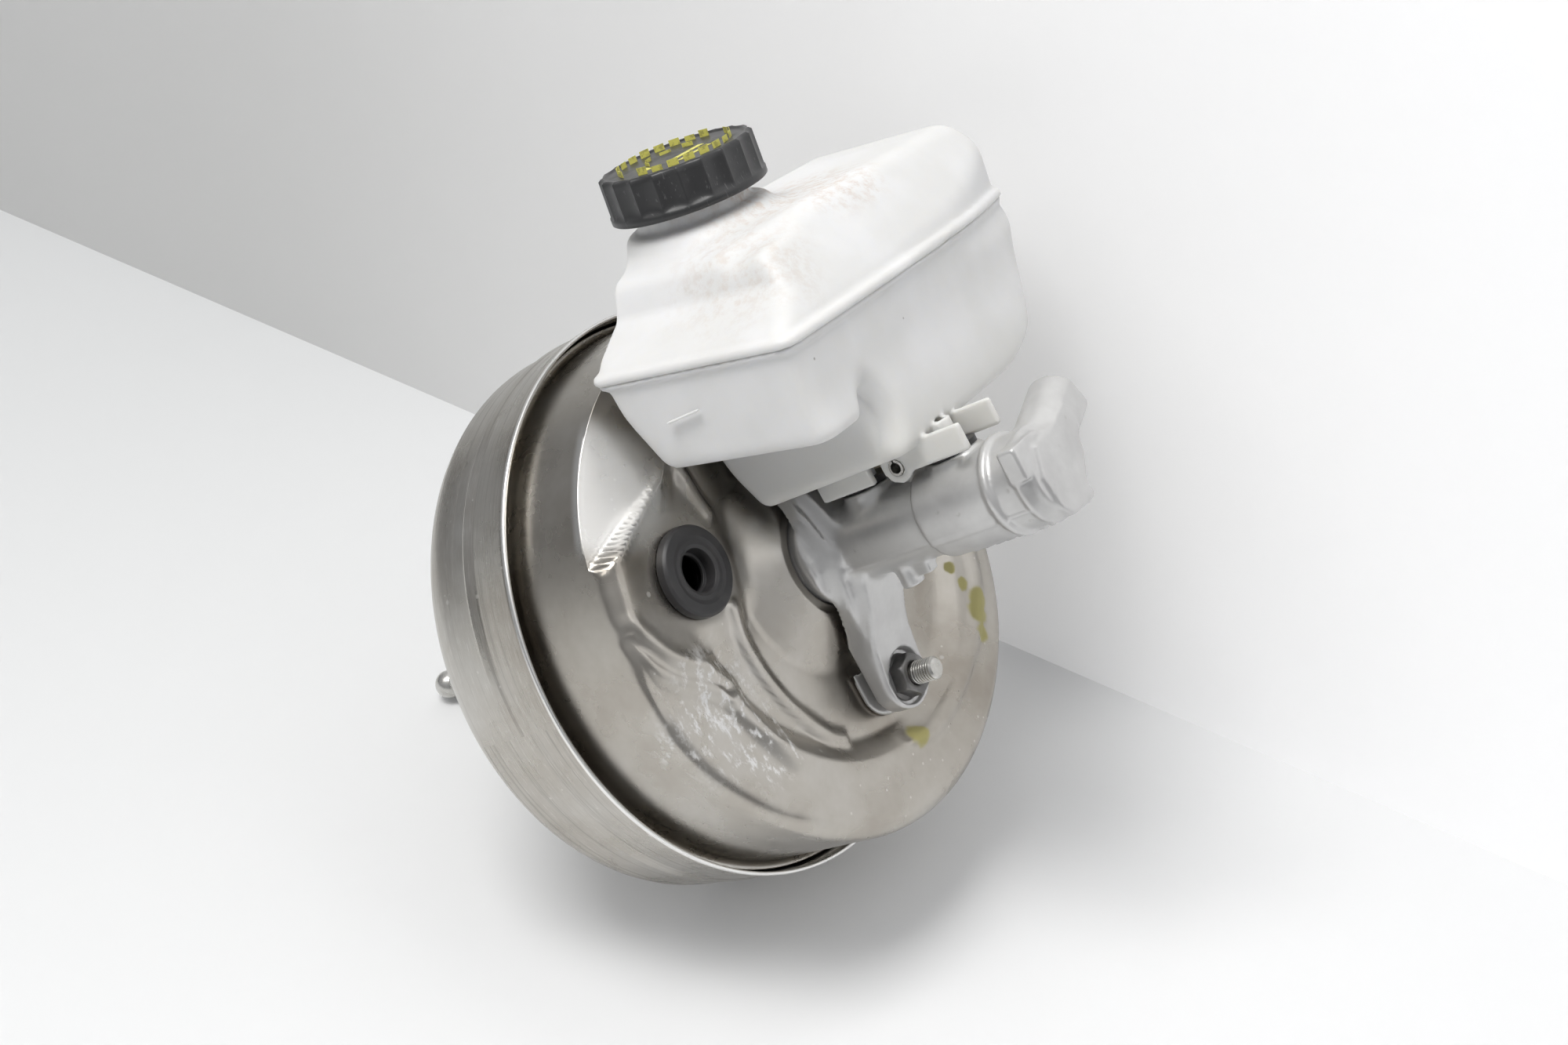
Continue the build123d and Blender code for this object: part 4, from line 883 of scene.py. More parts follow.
def makeFrontShell(s):
    path = respace(roundedPath(s["path"], s["rounds"], 10), s["step"])
    along, out, turn = spin(path, s["turns"])
    y, z = out * np.cos(turn), out * np.sin(turn)
    x = pressFace(along, y, z, s)
    faces = spinFaces(len(path), s["turns"], False)
    mid = np.stack([along, y, z], 1)[faces].mean(1)
    gone = np.zeros(len(faces), bool)
    for hy, hz, r, clear in s["holes"]:
        gone |= (mid[:, 0] > s["faceX"]) & (tube(mid[:, 1], mid[:, 2], (hy, hz), clear) < 0)
        # points near the hole moved out to its round edge
        d = np.maximum(np.hypot(y - hy, z - hz), 0.1)
        push = np.where((along > s["faceX"]) & (d < r + s["holeEdge"]), np.maximum(d, r) / d, 1)
        y, z = hy + (y - hy) * push, hz + (z - hz) * push
    used, faces = np.unique(faces[~gone], return_inverse=True)
    verts = (np.stack([x, y, z], 1) * mm)[used]
    shell = makePiece("frontShell", verts, faces.reshape(-1, 4), finish["shell_metal"])
    thick = shell.modifiers.new("sheet", "SOLIDIFY")
    thick.thickness = s["sheet"] * mm
    thick.offset = -1
    return bake(shell)


settle(makeRearShell(rearShellSet), "housing", "rear_shell")
settle(makeFrontShell(frontShellSet), "housing", "front_shell")
print("stage: shells pressed")


# cast body of the master cylinder; r is the distance from its axis
bodySet = {
    "box": ((91, -36, -84), (251, 44, 84)),
    "step": 1.04,
    "arm": {"hubR": 27.0, "tipR": 15.8, "tipStretch": 1.12, "soft": 16.0},
    # from the web's top line down to the flange's edge: height over distance from the middle
    "lines": {"at": (0, 3, 8, 13, 20, 28, 34, 40, 46, 62, 84),
              "topX": (147, 147, 146.4, 145.6, 143.6, 140.6, 137.6, 134.8, 132.6, 129.6, 129.2),
              "midX": (140.8, 140.6, 140, 139, 137.2, 133.5, 131.8, 131, 130.6, 128.8, 128.4),
              "midY": (20, 20, 20, 20, 19.9, 19.2, 17.6, 16, 15.2, 15, 15),
              "lowX": (133, 133, 131, 129.6, 127, 124.4, 123.5, 124.5, 127.4, 127.6, 127.4),
              "lowY": (27.6, 27.6, 26.9, 26, 24, 21.5, 19.3, 17.3, 16.2, 15.9, 15.9)},
    "webHalf": 14.2,
    "hollow": (2.6, 0.8, (42, 32)),      # depth, the lower one's share, gone and full by the arm's length
    "steep": (0.2, 0.9),                 # of the top and of the edge
    "back": ((24, 28, 33, 41, 47, 60), (124, 130.6, 125.5, 121, 118, 113.15)),     # r, x
    # turned forms: middle x, half length, radius, rounding
    "barrel": (160, 50, 18.0, 1.0),
    "frontBarrel": {"x": 188.0, "slant": (-18, 0.05), "endX": 227.0, "r": 20.4,
                    "taper": (0.5, (205, 225))},
    "collar": (226.0, 2.0, 21.6, 1.6),
    "band": (240.4, 1.2, 20.3, 1.0),
    "nose": (236, 11.0, 19.5, 3.0, (241, 246)),          # then the taper and where it runs
    "spigot": (108, 15.9, 23.8, 0.6),
    "groove": (117.75, 2.35, 20.3),
    "bores": ((160, 80.1, 12.75), (95, 9.05, 15.05), (95.3, 0.85, 16.3)),
    "tip": [(-7.7, 13.3), (-13.4, 1.1), (-10.7, -13.2), (-5.6, -18.6), (8.6, -19.6), (14.8, -10.1),
            (21.3, -2.4), (23.4, 6.6), (26, 12), (22, 19), (10.8, 15.6)],     # y, z
    "tipX": (245.4, 3.4),
    # bars: two ends and radius
    "chip": ((243, 9.5, -15.5), (247.0, 11.0, -16.5), 2.8),
    "seams": (((142, -16.6, -7.6), (187, -16.6, -7.6), 0.75), ((189, -18.7, -8.6), (238, -17.8, -8.2), 0.8)),
    "ragged": ((196, -3, -20.0), (236, -3, -20.0), 0.9),
    "rags": (0.5, 1.7, 0.6),             # height and two wave numbers
    "inlet": {"r": 12, "top": 20.8, "bore": 9.55, "floor": 14.95, "hole": 1.5},
    "ear": {"r": 6.2, "half": 5.8, "low": 13, "pin": 3.45},
    # ports: start, way, length, radius, rounding, blend, where the bore starts, and the x it is cut at
    "ports": (((237.8, -1.3, 3.3), (0, 0.93, 0.36), 42.5, 12.4, 1.2, 2.2, 28.5, 248.8),
              ((183, 0, 4), (0, 1, 0), 33.8, 10, 1.0, 3.0, 20, None)),
    "portBore": (20, 5.45),
    "pad": ((242.0, -10, 11), (4.5, 10.4, 7.0), 1.0),
    "lug": ((161, -5, 0), (0, 0, -1), 25.4, 5.0, 0.8),
    "lugFoot": ((168, -5, -19), (6.5, 3.2, 3.2), 1.0),
    "bolt": {"r": 5.35, "fromX": 100, "seatR": 12.6, "seatX": 126.0},
    "minRun": (1, 0.6),                  # shortest step in y that a slope is spread over
}


def drum(x, r, mid, half, size, soft=0.0):
    # turned form about the cylinder's axis
    return meet(r - size, span(x, mid, half), soft)


def armField(x, y, z, r, s):
    arm, web, ay, az = s["arm"], s["webHalf"], np.abs(y), np.abs(z)
    end = np.where(az > boltZ, np.hypot(y, (az - boltZ) * arm["tipStretch"]), ay) - arm["tipR"]
    plan = join(r - arm["hubR"], end, arm["soft"])
    topX, midX, midY, lowX, lowY = [np.interp(az, s["lines"]["at"], s["lines"][k])
                                    for k in ("topX", "midX", "midY", "lowX", "lowY")]
    upperRun, lowerRun = np.maximum(midY - web, s["minRun"][0]), np.maximum(lowY - midY, s["minRun"][1])
    upper, lower = np.clip((ay - web) / upperRun, 0, 1), np.clip((ay - midY) / lowerRun, 0, 1)
    depth, share, reach = s["hollow"]
    dish = (np.sin(math.pi * upper) ** 2 + share * np.sin(math.pi * lower) ** 2) * ease(az, *reach)
    front = topX + (midX - topX) * upper + (lowX - midX) * lower - depth * dish
    flat, edge = s["steep"]
    steep = np.where(ay < web, flat, np.where(ay < midY, (topX - midX) / upperRun, edge))
    back = np.interp(r, *s["back"])
    return meet(meet(plan, (x - front) / np.sqrt(1 + steep * steep), 1.2), (back - x) * 0.8, 0.8)


def turnedField(x, y, z, r, s):
    p = s["frontBarrel"]
    start = p["x"] + (y - p["slant"][0]) * p["slant"][1]
    taper, where = p["taper"]
    thick = meet(r - p["r"] + taper * ease(x, *where), np.maximum(start - x, x - p["endX"]), 0.8)
    rings = join(drum(x, r, *s["collar"]), drum(x, r, *s["band"]), 1.0)
    mid, half, size, taper, where = s["nose"]
    nose = meet(r - size + taper * ease(x, *where), span(x, mid, half), 0.8)
    nose = join(nose, meet(polyDistance(y, z, s["tip"]), span(x, *s["tipX"]), 0.7), 1.4)
    nose = join(nose, bar(x, y, z, *s["chip"]), 2.0)
    return join(join(drum(x, r, *s["barrel"]), thick, 0.7), join(nose, rings, 1.2), 1.0)


def bodyField(x, y, z, s=bodySet):
    r, az = np.hypot(y, z), np.abs(z)
    high, quick, slow = s["rags"]
    ragged = bar(x, y, z, *s["ragged"]) + high * np.sin(x * quick) * np.sin(x * slow)
    seams = join(*[bar(x, y, z, *row) for row in s["seams"]])
    body = join(turnedField(x, y, z, r, s), join(seams, ragged), 0.9)
    body = join(body, armField(x, y, z, r, s), 4.0)
    p = s["inlet"]
    for at in inletX:
        body = join(body, meet(tube(x, y, (at, 0), p["r"]), np.maximum(z - p["top"], -z), 0.8), 3.0)
    p = s["ear"]
    ear = join(tube(x, z, pinAt, p["r"]), np.maximum(span(x, pinAt[0], p["r"]), span(z, p["low"], p["low"])))
    body = join(body, meet(ear, np.abs(y) - p["half"], 0.8), 1.5)
    for start, way, length, size, soft, blend, _, endX in s["ports"]:
        boss = rod(x, y, z, start, way, length, size, soft)
        if endX:
            boss = meet(meet(boss, x - endX, 0.4), x - endX, 0.5)
        body = join(body, boss, blend)
    body = join(body, block(x, y, z, *s["pad"]), 1.2)
    body = join(body, join(rod(x, y, z, *s["lug"]), block(x, y, z, *s["lugFoot"]), 2.0), 2.5)
    # spigot and every bore of the solid
    body = join(body, drum(x, r, *s["spigot"]), 0.5)
    mid, half, size = s["groove"]
    body = cut(body, np.maximum(span(x, mid, half), size - r))
    for row in s["bores"]:
        body = cut(body, drum(x, r, *row))
    p = s["inlet"]
    for at in inletX:
        body = cut(body, np.maximum(tube(x, y, (at, 0), p["bore"]), p["floor"] - z))
        body = cut(body, np.maximum(tube(x, y, (at, 0), p["hole"]), -z))
    body = cut(body, tube(x, z, pinAt, s["ear"]["pin"]))
    p = s["bolt"]
    body = cut(body, np.maximum(tube(y, az, (0, boltZ), p["r"]), p["fromX"] - x))
    body = cut(body, np.maximum(tube(y, az, (0, boltZ), p["seatR"]), p["seatX"] - x), 0.8)
    for start, way, *_, boreFrom, _ in s["ports"]:
        body = cut(body, rod(x, y, z, start + unit(way) * boreFrom, way, *s["portBore"]))
    return body


settle(skin("castBody", bodyField, *bodySet["box"], bodySet["step"], finish["cast_aluminium"]),
       "housing", "master_cylinder_body")
print("stage: master cylinder cast")


# fluid reservoir; u and w are measured along and square to its tilted seam, w up
tankSet = {
    "step": 1.3,
    "upperBox": ((108, -76, 86), (222, 144, 176)),
    "lowerBox": ((108, -76, 14), (228, 144, 120)),
    "seamAt": (215.3, 94.3),           # x, z
    "fall": 0.18,
    "plan": [(-103, -72), (0, -72), (0, 61), (-5, 105), (-15, 135.5), (-103, 135.5)],
    "planIn": (-55, 30),
    "planSoft": 9.0,
    "lip": 2.6,
    "lipHalf": 3.1,
    "wall": 2.5,
    "seamGap": (0.02, 0.04),           # upper and lower half off the seam
    "upperRim": -1.0,
    "lowerRim": (0.9, 2),              # within the plan, top
    "rimRoom": (-1.06, 3.6),           # w from which the upper half's rim fits in, within the plan
    # roof walls: two points each, in y, w or in u, w
    "roofIn": (0, 5),
    "skirt": ((-69.4, 4), (-42, 20.5)),
    "skirtTop": 21.5,
    "crease": ((-46, 17), (-39, 33)),
    "shoulder": ((-41, 31.5), (-16, 38.5)),
    "roofTop": 38.0,
    "farRoof": ((128.5, 38), (136, 12)),
    "browIn": (-60, 0),
    "brow": ((-27, 38), (-7.5, 13)),
    "browFoot": ((-8.2, 13.2), (-2.4, 3)),
    "mound": {"r": 30.5, "along": (-50, -25)},
    "dent": ((-44, -60, 33.5), (-22, -16, 42), 7.0),         # u, y, w
    "neck": {"r": 24.9, "hole": 22.0, "top": -6.3, "low": -40, "holeLow": -44},
    "capRoom": (40, -24.0, 24.95),     # radius, height from the cap's top, radius of the neck left
    # tub walls: two points each, in x, z or in y, z
    "tubIn": (180, 70),
    "tubBack": (((116, 120), (117, 57)), ((117, 57), (127, 32.5))),
    "tubFloor": 31.5,
    "tubNear": -30,
    "tubFarIn": (30, 80),
    "tubFar": ((((99, 39.5), (117, 60)), 4.0), (((115, 57), (139, 98)), 6.0)),
    "tubUnder": ((72, 30.5), (101, 41)),
    "wingIn": (180, 90),
    "wingBack": ((111.5, 118), (127, 70.8)),
    "wingFloor": -41.0,
    "wingY": (-72, -26),
    # the walls lean in below the rim: how far, and where it starts and ends
    "drop": (0, -16),
    "lean": (5.0, (-20, -60)),
    "leanFar": (2.0, (60, 100)),
    "leanSide": (4.0, (55, 95)),
    "levelMark": ((143, -71.4, 86.5), (160, -71.4, 86.5), 1.0),
    "arch": {"at": (-31, 51), "half": (9.0, 15.0), "fromX": 196, "fade": (2.5, (212, 192))},
    # room for the booster and for the upper bolt
    "shellRoom": (126.1, 119.8),
    "boltRoom": (22, 153, 87),
    "roomSoft": (1.5, 3.0),
    # what holds the lower half: rails and lugs beside the cylinder, two spouts and a post
    "rails": (160.5, 14.5), "farRails": (209.5, 15.5), "railZ": (28, 6.0), "railY": (13.5, 1.5),
    "lug": {"r": 7.0, "pin": 3.45, "pinHalf": 20, "z": (30, 4)},
    "spout": {"r": 5.35, "bore": 3.2, "z": (26, 9.4), "top": 36},
    "post": {"at": (178, 78), "r": 3.9, "z": (60, 26)},
}


def tankPlace(x, z, s=tankSet):
    n = math.hypot(1, s["fall"])
    dx, dz = x - s["seamAt"][0], z - s["seamAt"][1]
    return (dx - s["fall"] * dz) / n, (s["fall"] * dx + dz) / n


def planDistance(u, y, s=tankSet):
    # inside of the flange's outline
    ring = [*s["plan"], s["plan"][0]]
    best = slope(u, y, ring[:2], s["planIn"])
    for i in range(1, len(s["plan"])):
        best = meet(best, slope(u, y, ring[i:i + 2], s["planIn"]), s["planSoft"])
    return best


def roofField(x, y, z, s=tankSet):
    u, w = tankPlace(x, z)
    skirt, crease, shoulder, far = [slope(y, w, s[k], s["roofIn"])
                                    for k in ("skirt", "crease", "shoulder", "farRoof")]
    side = join(meet(skirt, w - s["skirtTop"], 1.5), meet(crease, shoulder, 4.0), 1.2)
    side = meet(meet(side, w - s["roofTop"], 6.0), far, 7.0)
    front = meet(slope(u, w, s["brow"], s["browIn"]), slope(u, w, s["browFoot"], s["browIn"]), 3.0)
    shape = meet(meet(side, front, 6.0), planDistance(u, y) + s["lip"], 3.0)
    along, out = axle(x, y, z, capTop, capWay)
    low, high = s["mound"]["along"]
    shape = join(shape, meet(out - s["mound"]["r"], np.maximum(along - high, low - along), 5.0), 12.0)
    # soft hollow in front of the neck
    return cut(shape, bar(u, y, w, *s["dent"]), 7.0)


def tubField(x, y, z, s=tankSet):
    u, w = tankPlace(x, z)
    side = meet(*[slope(x, z, run, s["tubIn"]) for run in s["tubBack"]], 5.0)
    deep = meet(meet(side, s["tubFloor"] - z, 4.0), s["tubNear"] - y, 6.0)
    far = slope(y, z, s["tubUnder"], s["tubFarIn"])
    for run, soft in s["tubFar"]:
        far = meet(far, slope(y, z, run, s["tubFarIn"]), soft)
    deep = meet(deep, far, 4.0)
    near, inner = s["wingY"]
    wing = meet(slope(x, z, s["wingBack"], s["wingIn"]), s["wingFloor"] - w, 5.0)
    wing = meet(wing, np.maximum(y - inner, near - y), 4.0)
    drop = ease(w, *s["drop"])
    lean, leanFar, leanSide = [p[0] * ease(v, *p[1]) for v, p in (
        (w, s["lean"]), (y, s["leanFar"]), (y, s["leanSide"]))]
    front = planDistance(u - lean - leanFar * drop, y - leanSide * drop) + s["lip"]
    shape = meet(join(deep, wing, 5.0), front, 5.0)
    shape = join(shape, bar(x, y, z, *s["levelMark"]), 0.6)
    # arch between the wing and the deep part
    p = s["arch"]
    wide, tall = p["half"]
    arch = (np.hypot((y - p["at"][0]) / wide, (z - p["at"][1]) / tall) - 1) * wide
    depth, where = p["fade"]
    return cut(shape, np.maximum(arch, p["fromX"] - x) + depth * ease(x, *where), 7.0)


def roomCut(x, y, z, shape, extra=0.0, soft=tankSet["roomSoft"], s=tankSet):
    # clear of the booster and of the upper bolt
    (r, shellX), (boltY, boltX, boltTop) = s["shellRoom"], s["boltRoom"]
    shape = cut(shape, np.maximum(np.hypot(y, z) - r - extra, x - shellX - extra), soft[0])
    bolt = np.maximum(np.maximum(np.abs(y) - boltY - extra, x - boltX - extra), z - boltTop - extra)
    return cut(shape, bolt, soft[1])


def upperField(x, y, z, s=tankSet):
    u, w = tankPlace(x, z)
    form = roofField(x, y, z)
    rim = meet(meet(planDistance(u, y), w - s["lipHalf"], 2.2), s["upperRim"] - w, 0.8)
    shape = roomCut(x, y, z, join(np.maximum(form, s["seamGap"][0] - w), rim, 2.2))
    along, out = axle(x, y, z, capTop, capWay)
    p = s["neck"]
    shape = join(shape, np.maximum(out - p["r"], np.maximum(along - p["top"], p["low"] - along)), 1.5)
    shape = cut(shape, roomCut(x, y, z, form + s["wall"], s["wall"], (0, 0)))
    shape = cut(shape, np.maximum(out - p["hole"], p["holeLow"] - along))
    # room round the neck for the cap's skirt
    wide, low, neck = s["capRoom"]
    far = 1000                # keeps the neck itself out of the cut
    return cut(shape, np.maximum(out - wide, low - along) + (out < neck) * far)


def lowerField(x, y, z, s=tankSet):
    u, w = tankPlace(x, z)
    form = tubField(x, y, z)
    plan = planDistance(u, y)
    within, top = s["lowerRim"]
    rim = meet(plan + within, np.maximum(-w - s["lipHalf"], w - top), 1.6)
    shape = roomCut(x, y, z, join(form, rim, 2.0))
    shape = cut(shape, roomCut(x, y, z, form + s["wall"], s["wall"]))
    sides = span(np.abs(y), *s["railY"])
    for key in ("rails", "farRails"):
        shape = join(shape, meet(np.maximum(span(x, *s[key]), span(z, *s["railZ"])), sides, 0.6))
    p = s["lug"]
    lug = join(tube(x, z, pinAt, p["r"]), np.maximum(span(x, pinAt[0], p["r"]), span(z, *p["z"])))
    shape = join(shape, meet(lug, sides, 0.5))
    q = s["spout"]
    for at in inletX:
        shape = join(shape, np.maximum(tube(x, y, (at, 0), q["r"]), span(z, *q["z"])), 0.8)
    post = s["post"]
    shape = join(shape, np.maximum(tube(x, y, post["at"], post["r"]), span(z, *post["z"])))
    shape = cut(shape, np.maximum(tube(x, z, pinAt, p["pin"]), np.abs(y) - p["pinHalf"]))
    for at in inletX:
        shape = cut(shape, np.maximum(tube(x, y, (at, 0), q["bore"]), z - q["top"]))
    low, within = s["rimRoom"]
    return cut(np.maximum(shape, w + s["seamGap"][1]), np.maximum(low - w, -plan - within))


for tankName, tankForm, tankBox, tankNode in (
        ("tankUpper", upperField, "upperBox", "reservoir_upper"),
        ("tankLower", lowerField, "lowerBox", "reservoir_lower")):
    settle(skin(tankName, tankForm, *tankSet[tankBox], tankSet["step"], finish["white_plastic"]),
           "housing", tankNode)
print("stage: reservoir moulded")


# screw cap: profile of (height from its top, distance from its axis)
capSet = {
    "profile": [(0.35, 0), (0.35, 30.2), (1.1, 30.9), (1.1, 32.2), (0.2, 33.4), (-14.9, 33.6), (-15.3, 34.0),
                (-17.9, 34.0), (-18.3, 33.5), (-18.3, 27.05), (-2.65, 27.05), (-2.65, 0)],
    "flutes": 20,
    "fluteDepth": 1.35,
    "flutePower": 0.8,
    "fluteOut": (30.5, 31.7),
    "fluteLow": (-15.3, -14.3),
    "step": 2.2,
    "turns": 400,
}


def makeCap(s):
    def flute(along, out, turn):
        share = (turn * s["flutes"] / (2 * math.pi)) % 1.0
        depth = s["fluteDepth"] * np.sin(math.pi * share) ** s["flutePower"]
        return along, out - depth * ease(out, *s["fluteOut"]) * ease(along, *s["fluteLow"])

    path = respace(np.array(s["profile"], float), s["step"])
    return lathe("screwCap", path, s["turns"], finish["black_plastic"], False, capTop, capWay, flute)


# geometry node helper
class Tree(Net):
    # a node group with named inputs, applied as a modifier
    def __init__(self, name, inputs):
        super().__init__(bpy.data.node_groups.new(name, "GeometryNodeTree"))
        sockets = self.tree.interface
        sockets.new_socket("Geometry", in_out="OUTPUT", socket_type="NodeSocketGeometry")
        self.ids = {}
        for key, (kind, value) in inputs.items():
            made = sockets.new_socket(key, in_out="INPUT", socket_type="NodeSocket" + kind)
            made.default_value = value
            self.ids[key] = made.identifier
        self.source = self.node("NodeGroupInput")
        self.target = self.node("NodeGroupOutput")

    def value(self, key):
        return self.source.outputs[key]

    def finish(self, geometry, mat):
        real = self.node("GeometryNodeRealizeInstances", {}, {0: geometry})
        done = self.node("GeometryNodeSetMaterial", {}, {"Geometry": real, "Material": mat})
        self.feed(self.target.inputs[0], done)

    def build(self, name, values, mat):
        piece = show(name, bpy.data.meshes.new(name))
        nodes = piece.modifiers.new("build", "NODES")
        nodes.node_group = self.tree
        for key, value in values.items():
            nodes[self.ids[key]] = value
        mesh = bake(piece).data
        bpy.data.objects.remove(piece)
        return dress(name, mesh, mat)


def coilTree(name, mat):
    # wire wound on the X axis
    t = Tree(name, {"Start": ("Float", 0.0), "End": ("Float", 0.05), "Radius": ("Float", 0.01),
                    "Wire": ("Float", 0.001), "Turns": ("Float", 6.0), "Y": ("Float", 0.0),
                    "Z": ("Float", 0.0), "Detail": ("Int", 48)})
    start, radius, wire = t.value("Start"), t.value("Radius"), t.value("Wire")
    room = t.node("ShaderNodeMath", {"operation": "SUBTRACT"}, {0: t.value("End"), 1: start})
    height = t.node("ShaderNodeMath", {"operation": "MULTIPLY_ADD"}, {0: wire, 1: -2.0, 2: room})
    line = t.node("GeometryNodeCurveSpiral", {}, {
        "Resolution": t.value("Detail"), "Rotations": t.value("Turns"), "Start Radius": radius,
        "End Radius": radius, "Height": height})
    ring = t.node("GeometryNodeCurvePrimitiveCircle", {"mode": "RADIUS"}, {"Resolution": 10, "Radius": wire})
    coil = t.node("GeometryNodeCurveToMesh", {}, {"Curve": line, "Profile Curve": ring, "Fill Caps": True})
    low = t.node("ShaderNodeMath", {"operation": "ADD"}, {0: start, 1: wire})
    place = t.node("ShaderNodeCombineXYZ", {}, {0: low, 1: t.value("Y"), 2: t.value("Z")})
    t.finish(t.node("GeometryNodeTransform", {}, {
        "Geometry": coil, "Translation": place, "Rotation": (0, math.pi / 2, 0)}), mat)
    return t


# node, body, radius, wire radius, turns, points in a turn
springSet = {
    "returnSpring": ("return_spring", "housing", 32, 1.8, 6, 56),
    "primarySpring": ("primary_spring", "primary_piston", 6.9, 1.1, 7, 28),
    "secondarySpring": ("secondary_spring", "housing", 6.9, 1.1, 7, 28),
    "inputRodSpring": ("input_rod_spring", "power_piston", 10.2, 0.7, 6, 28),
    "poppetSpring": ("poppet_spring", "power_piston", 11.4, 0.5, 4, 28),
}
# joint, the end that stays in m, the share of the length that is left
springShrink = {
    "returnSpring": ("booster_stroke", 0.1189, 0.566),
    "primarySpring": ("primary_stroke", 0.118, 0.724),
    "secondarySpring": ("secondary_stroke", 0.240, 0.68),
    "inputRodSpring": ("plunger_travel", -0.0235, 0.93),
}
# start and end, crest radius, wire radius, pitch, where in y, z
threadSet = {
    "frontThreads": ((134.7, 145.2), 4.84, 0.42, 1.5, ((0, boltZ), (0, -boltZ))),
    "rearThreads": ((-21.2, -0.6), 3.86, 0.36, 1.25, ((65, 0), (-65, 0), (0, boltZ), (0, -boltZ))),
}


def makeSprings():
    mat = finish["spring_steel"]
    tree = coilTree("springWire", mat)
    made = {}
    for name, (node, body, r, wire, turns, detail) in springSet.items():
        low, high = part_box(node)
        made[name] = tree.build(name, {"Start": low[0], "End": high[0], "Radius": r * mm, "Wire": wire * mm,
                                       "Turns": float(turns), "Detail": detail}, mat)
        settle(made[name], body, node)
    for name, (joint, anchor, keep) in springShrink.items():
        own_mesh(made[name])


def makeThreads():
    mat = finish["bolt_steel"]
    tree = coilTree("threadCrest", mat)
    for name, ((a, b), r, wire, pitch, places) in threadSet.items():
        parts = [tree.build(name, {"Start": a * mm, "End": b * mm, "Radius": r * mm, "Wire": wire * mm,
                                   "Turns": (b - a) / pitch, "Y": y * mm, "Z": z * mm, "Detail": 24}, mat)
                 for y, z in places]
        settle(fuse(name, parts, mat), "housing")


# yellow marks on the cap: plain dashes on arcs and a few bars
markSet = {
    # radius, from and to in degrees, dashes, their size out and along
    "arcs": [(24.6, 15, 160, 10, 4.6, 5.6), (24.6, 195, 340, 10, 4.6, 5.6), (12.5, 20, 160, 4, 5.2, 3.0)],
    # ends and width
    "bars": [((-9, -7), (11, -5), 3.2), ((-10, -14), (9, -12.5), 2.6), ((-17, -3), (-14.5, 6), 2.8)],
    "thick": 0.22,
    "lift": 0.42,             # over the cap's top
    "shake": ((0.7, 0.75, 1.0), (1.15, 1.1, 1.0)),
    "seed": 4,
}


def markTree(s, mat):
    t = Tree("dashRow", {"Radius": ("Float", 0.02), "From": ("Float", 0.0), "Sweep": ("Float", 1.0),
                         "Count": ("Int", 8), "Size": ("Vector", (0.002, 0.003, 0.0003))})
    arc = t.node("GeometryNodeCurveArc", {"mode": "RADIUS"}, {
        "Resolution": 64, "Radius": t.value("Radius"), "Start Angle": t.value("From"),
        "Sweep Angle": t.value("Sweep")})
    points = t.node("GeometryNodeCurveToPoints", {"mode": "COUNT"}, {"Curve": arc, "Count": t.value("Count")})
    dash = t.node("GeometryNodeMeshCube", {}, {"Size": t.value("Size")})
    shake = t.node("FunctionNodeRandomValue", {"data_type": "FLOAT_VECTOR"}, {
        "Min": s["shake"][0], "Max": s["shake"][1], "Seed": s["seed"]})
    t.finish(t.node("GeometryNodeInstanceOnPoints", {}, {
        "Points": points, "Instance": dash, "Rotation": points.outputs["Rotation"], "Scale": shake}), mat)
    return t


def makeMarks(s):
    tree = markTree(s, yellow)
    parts = [tree.build("capMarks", {
        "Radius": r * mm, "From": math.radians(start), "Sweep": math.radians(end - start), "Count": count,
        "Size": (s["thick"] * mm, along * mm, out * mm)}, yellow)
        for r, start, end, count, out, along in s["arcs"]]
    work = bmesh.new()
    for a, b, wide in s["bars"]:
        a, b = Vector((*a, 0)) * mm, Vector((*b, 0)) * mm
        way = b - a
        turn = Matrix.Translation((a + b) / 2) @ Matrix.Rotation(math.atan2(way.y, way.x), 4, "Z")
        size = Matrix.Diagonal((way.length, wide * mm, s["thick"] * mm, 1))
        bmesh.ops.create_cube(work, size=1, matrix=turn @ size)
    mesh = bpy.data.meshes.new("capBars")
    work.to_mesh(mesh)
    work.free()
    marks = fuse("capMarks", [*parts, dress("capBars", mesh, yellow)], yellow)
    marks.data.shade_flat()
    way = Vector(capWay).normalized()
    place = Matrix.Translation(Vector(capTop) * mm + way * s["lift"] * mm)
    marks.data.transform(place @ way.to_track_quat("Z", "Y").to_matrix().to_4x4())
    settle(marks, "cap")


settle(makeCap(capSet), "cap", "cap")
makeMarks(markSet)
makeSprings()
makeThreads()
print("stage: cap, springs and threads made")


# small rubber and steel pieces; paths are (x, distance from the piece's axis)
grommetSet = {
    "path": [(111.4, 9.0), (111.4, 15.6), (115.0, 15.8), (115.1, 13.0), (117.1, 13.0), (117.15, 19.2),
             (118.2, 19.6), (121.2, 19.3), (122.4, 18.2), (122.6, 14.4), (122.2, 12.6), (122.5, 10.8),
             (121.8, 9.3), (119.0, 9.0), (116.2, 9.0), (116.0, 7.9), (114.6, 7.8), (114.2, 9.0)],
    "rounds": [0.4, 0.4, 0.2, 0.2, 0.3, 0.5, 0.6, 0.8, 0.8, 0.8, 0.6, 0.4, 0.3, 0.2, 0.3, 0.3],
    "step": 1.5,
    "turns": 96,
}
nutSet = {
    "path": [(126.02, 5.15), (126.02, 10.3), (126.5, 10.6), (127.1, 10.4), (127.5, 9.9), (127.6, 9.85),
             (133.2, 9.85), (134.4, 8.7), (134.5, 8.2), (134.5, 6.0), (133.7, 5.15)],
    "flat": 8.5,              # half the width across flats
    "hexFrom": (127.4, 7.0),  # x and distance from the axis
    "turn": 0.22,
    "step": 1.2,
    "turns": 120,
}
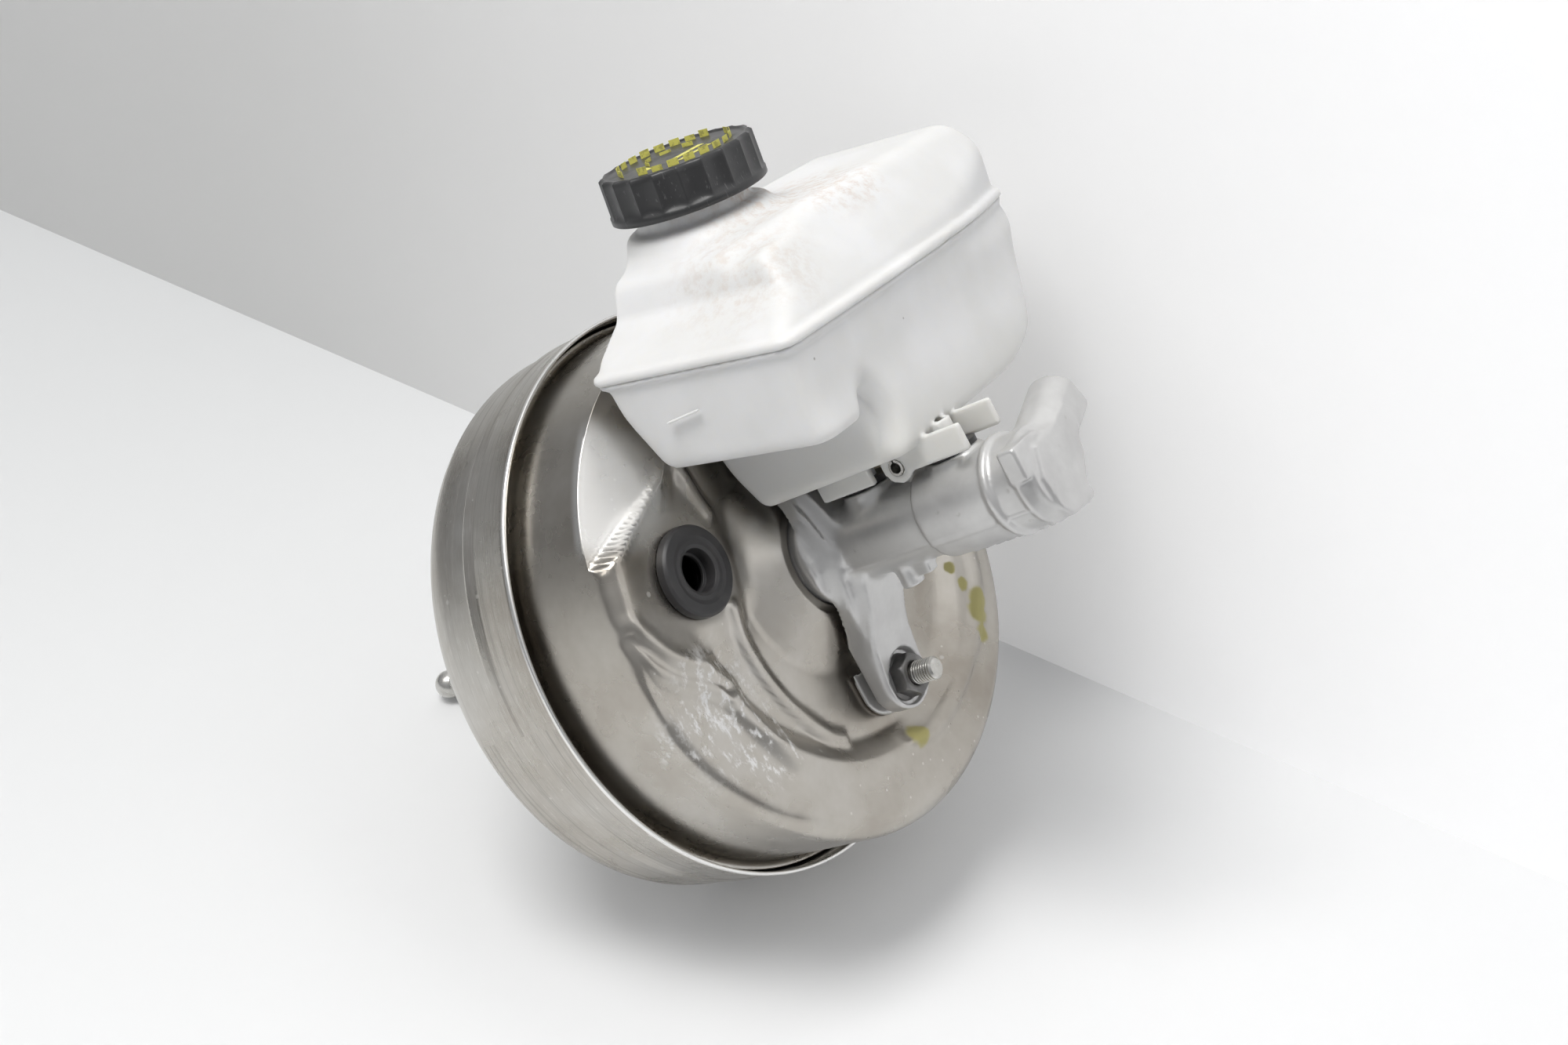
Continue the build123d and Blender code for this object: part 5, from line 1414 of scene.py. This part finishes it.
bootSet = {
    "sleeve": [(-8, 27.4), (-10, 27.7), (-22, 27.4)],
    "folds": 4,
    "steps": 12,
    "pitch": 9.0,
    "outR": 29.4,
    "rootR": 24.2,
    "foldPower": 0.8,
    "narrow": 0.35,           # every fold is this much smaller than the last
    "tip": [(-66, 18.6), (-86.5, 12.4)],
    "lip": [(-100, 4.95), (-100, 6.2), (-89.6, 6.5), (-88.4, 14.2), (-86.9, 14.2), (-86.9, 4.95)],
    "lipRounds": [0.3, 0.5, 1.5, 0.6],
    "wall": 1.5,
    "turns": 128,
    "lipStep": 1.5,
    "lipTurns": 96,
}


def makeGrommet(s):
    path = respace(roundedPath(s["path"], s["rounds"], 4), s["step"])
    return lathe("vacuumGrommet", path, s["turns"], finish["black_rubber"], origin=(0, *grommetAt))


def makeNuts(s):
    sixth = math.pi / 3

    def hexed(along, out, turn):
        side = s["flat"] / np.cos((turn + s["turn"] + sixth / 2) % sixth - sixth / 2)
        hexagon = (along > s["hexFrom"][0]) & (out > s["hexFrom"][1])
        return along, np.where(hexagon, np.minimum(out, side), out)

    path = respace(np.array(s["path"], float), s["step"])
    mat = finish["nut_steel"]
    return fuse("tieBoltNuts", [lathe("tieNut", path, s["turns"], mat, origin=(0, 0, z), wobble=hexed)
                                for z in (boltZ, -boltZ)], mat)


def makeBoot(s):
    rows = list(s["sleeve"])
    start = rows[-1][0]
    for k in range(1, s["folds"] * s["steps"] + 1):
        share = k / s["steps"]
        wave = (0.5 - 0.5 * math.cos(2 * math.pi * share)) ** s["foldPower"]
        rows.append((start - s["pitch"] * share,
                     s["rootR"] + (s["outR"] - s["rootR"]) * wave - s["narrow"] * share))
    outer = np.array(rows + s["tip"])
    inner = offsetPath(outer, s["wall"])
    inner[[0, -1], 0] = outer[[0, -1], 0]
    return lathe("dustBoot", np.concatenate([outer, inner[::-1]]), s["turns"], finish["black_rubber"])


def makeBootLip(s):
    # the boot's end bead, which grips the rod and swings with it
    path = respace(roundedPath(s["lip"], s["lipRounds"], 4), s["lipStep"])
    return lathe("bootLip", path, s["lipTurns"], finish["black_rubber"])


settle(makeGrommet(grommetSet), "housing", "vacuum_grommet")
settle(makeNuts(nutSet), "housing", "tie_bolt_nuts")
boot = settle(makeBoot(bootSet), "housing", "dust_boot")
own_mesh(boot)
settle(makeBootLip(bootSet), "pushrod")
rolling = dress("rollingDiaphragm", frame["nodes"]["diaphragm"].data.copy(), finish["black_rubber"])
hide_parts("diaphragm")
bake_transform(rolling)
print("stage: rubber and nuts made")
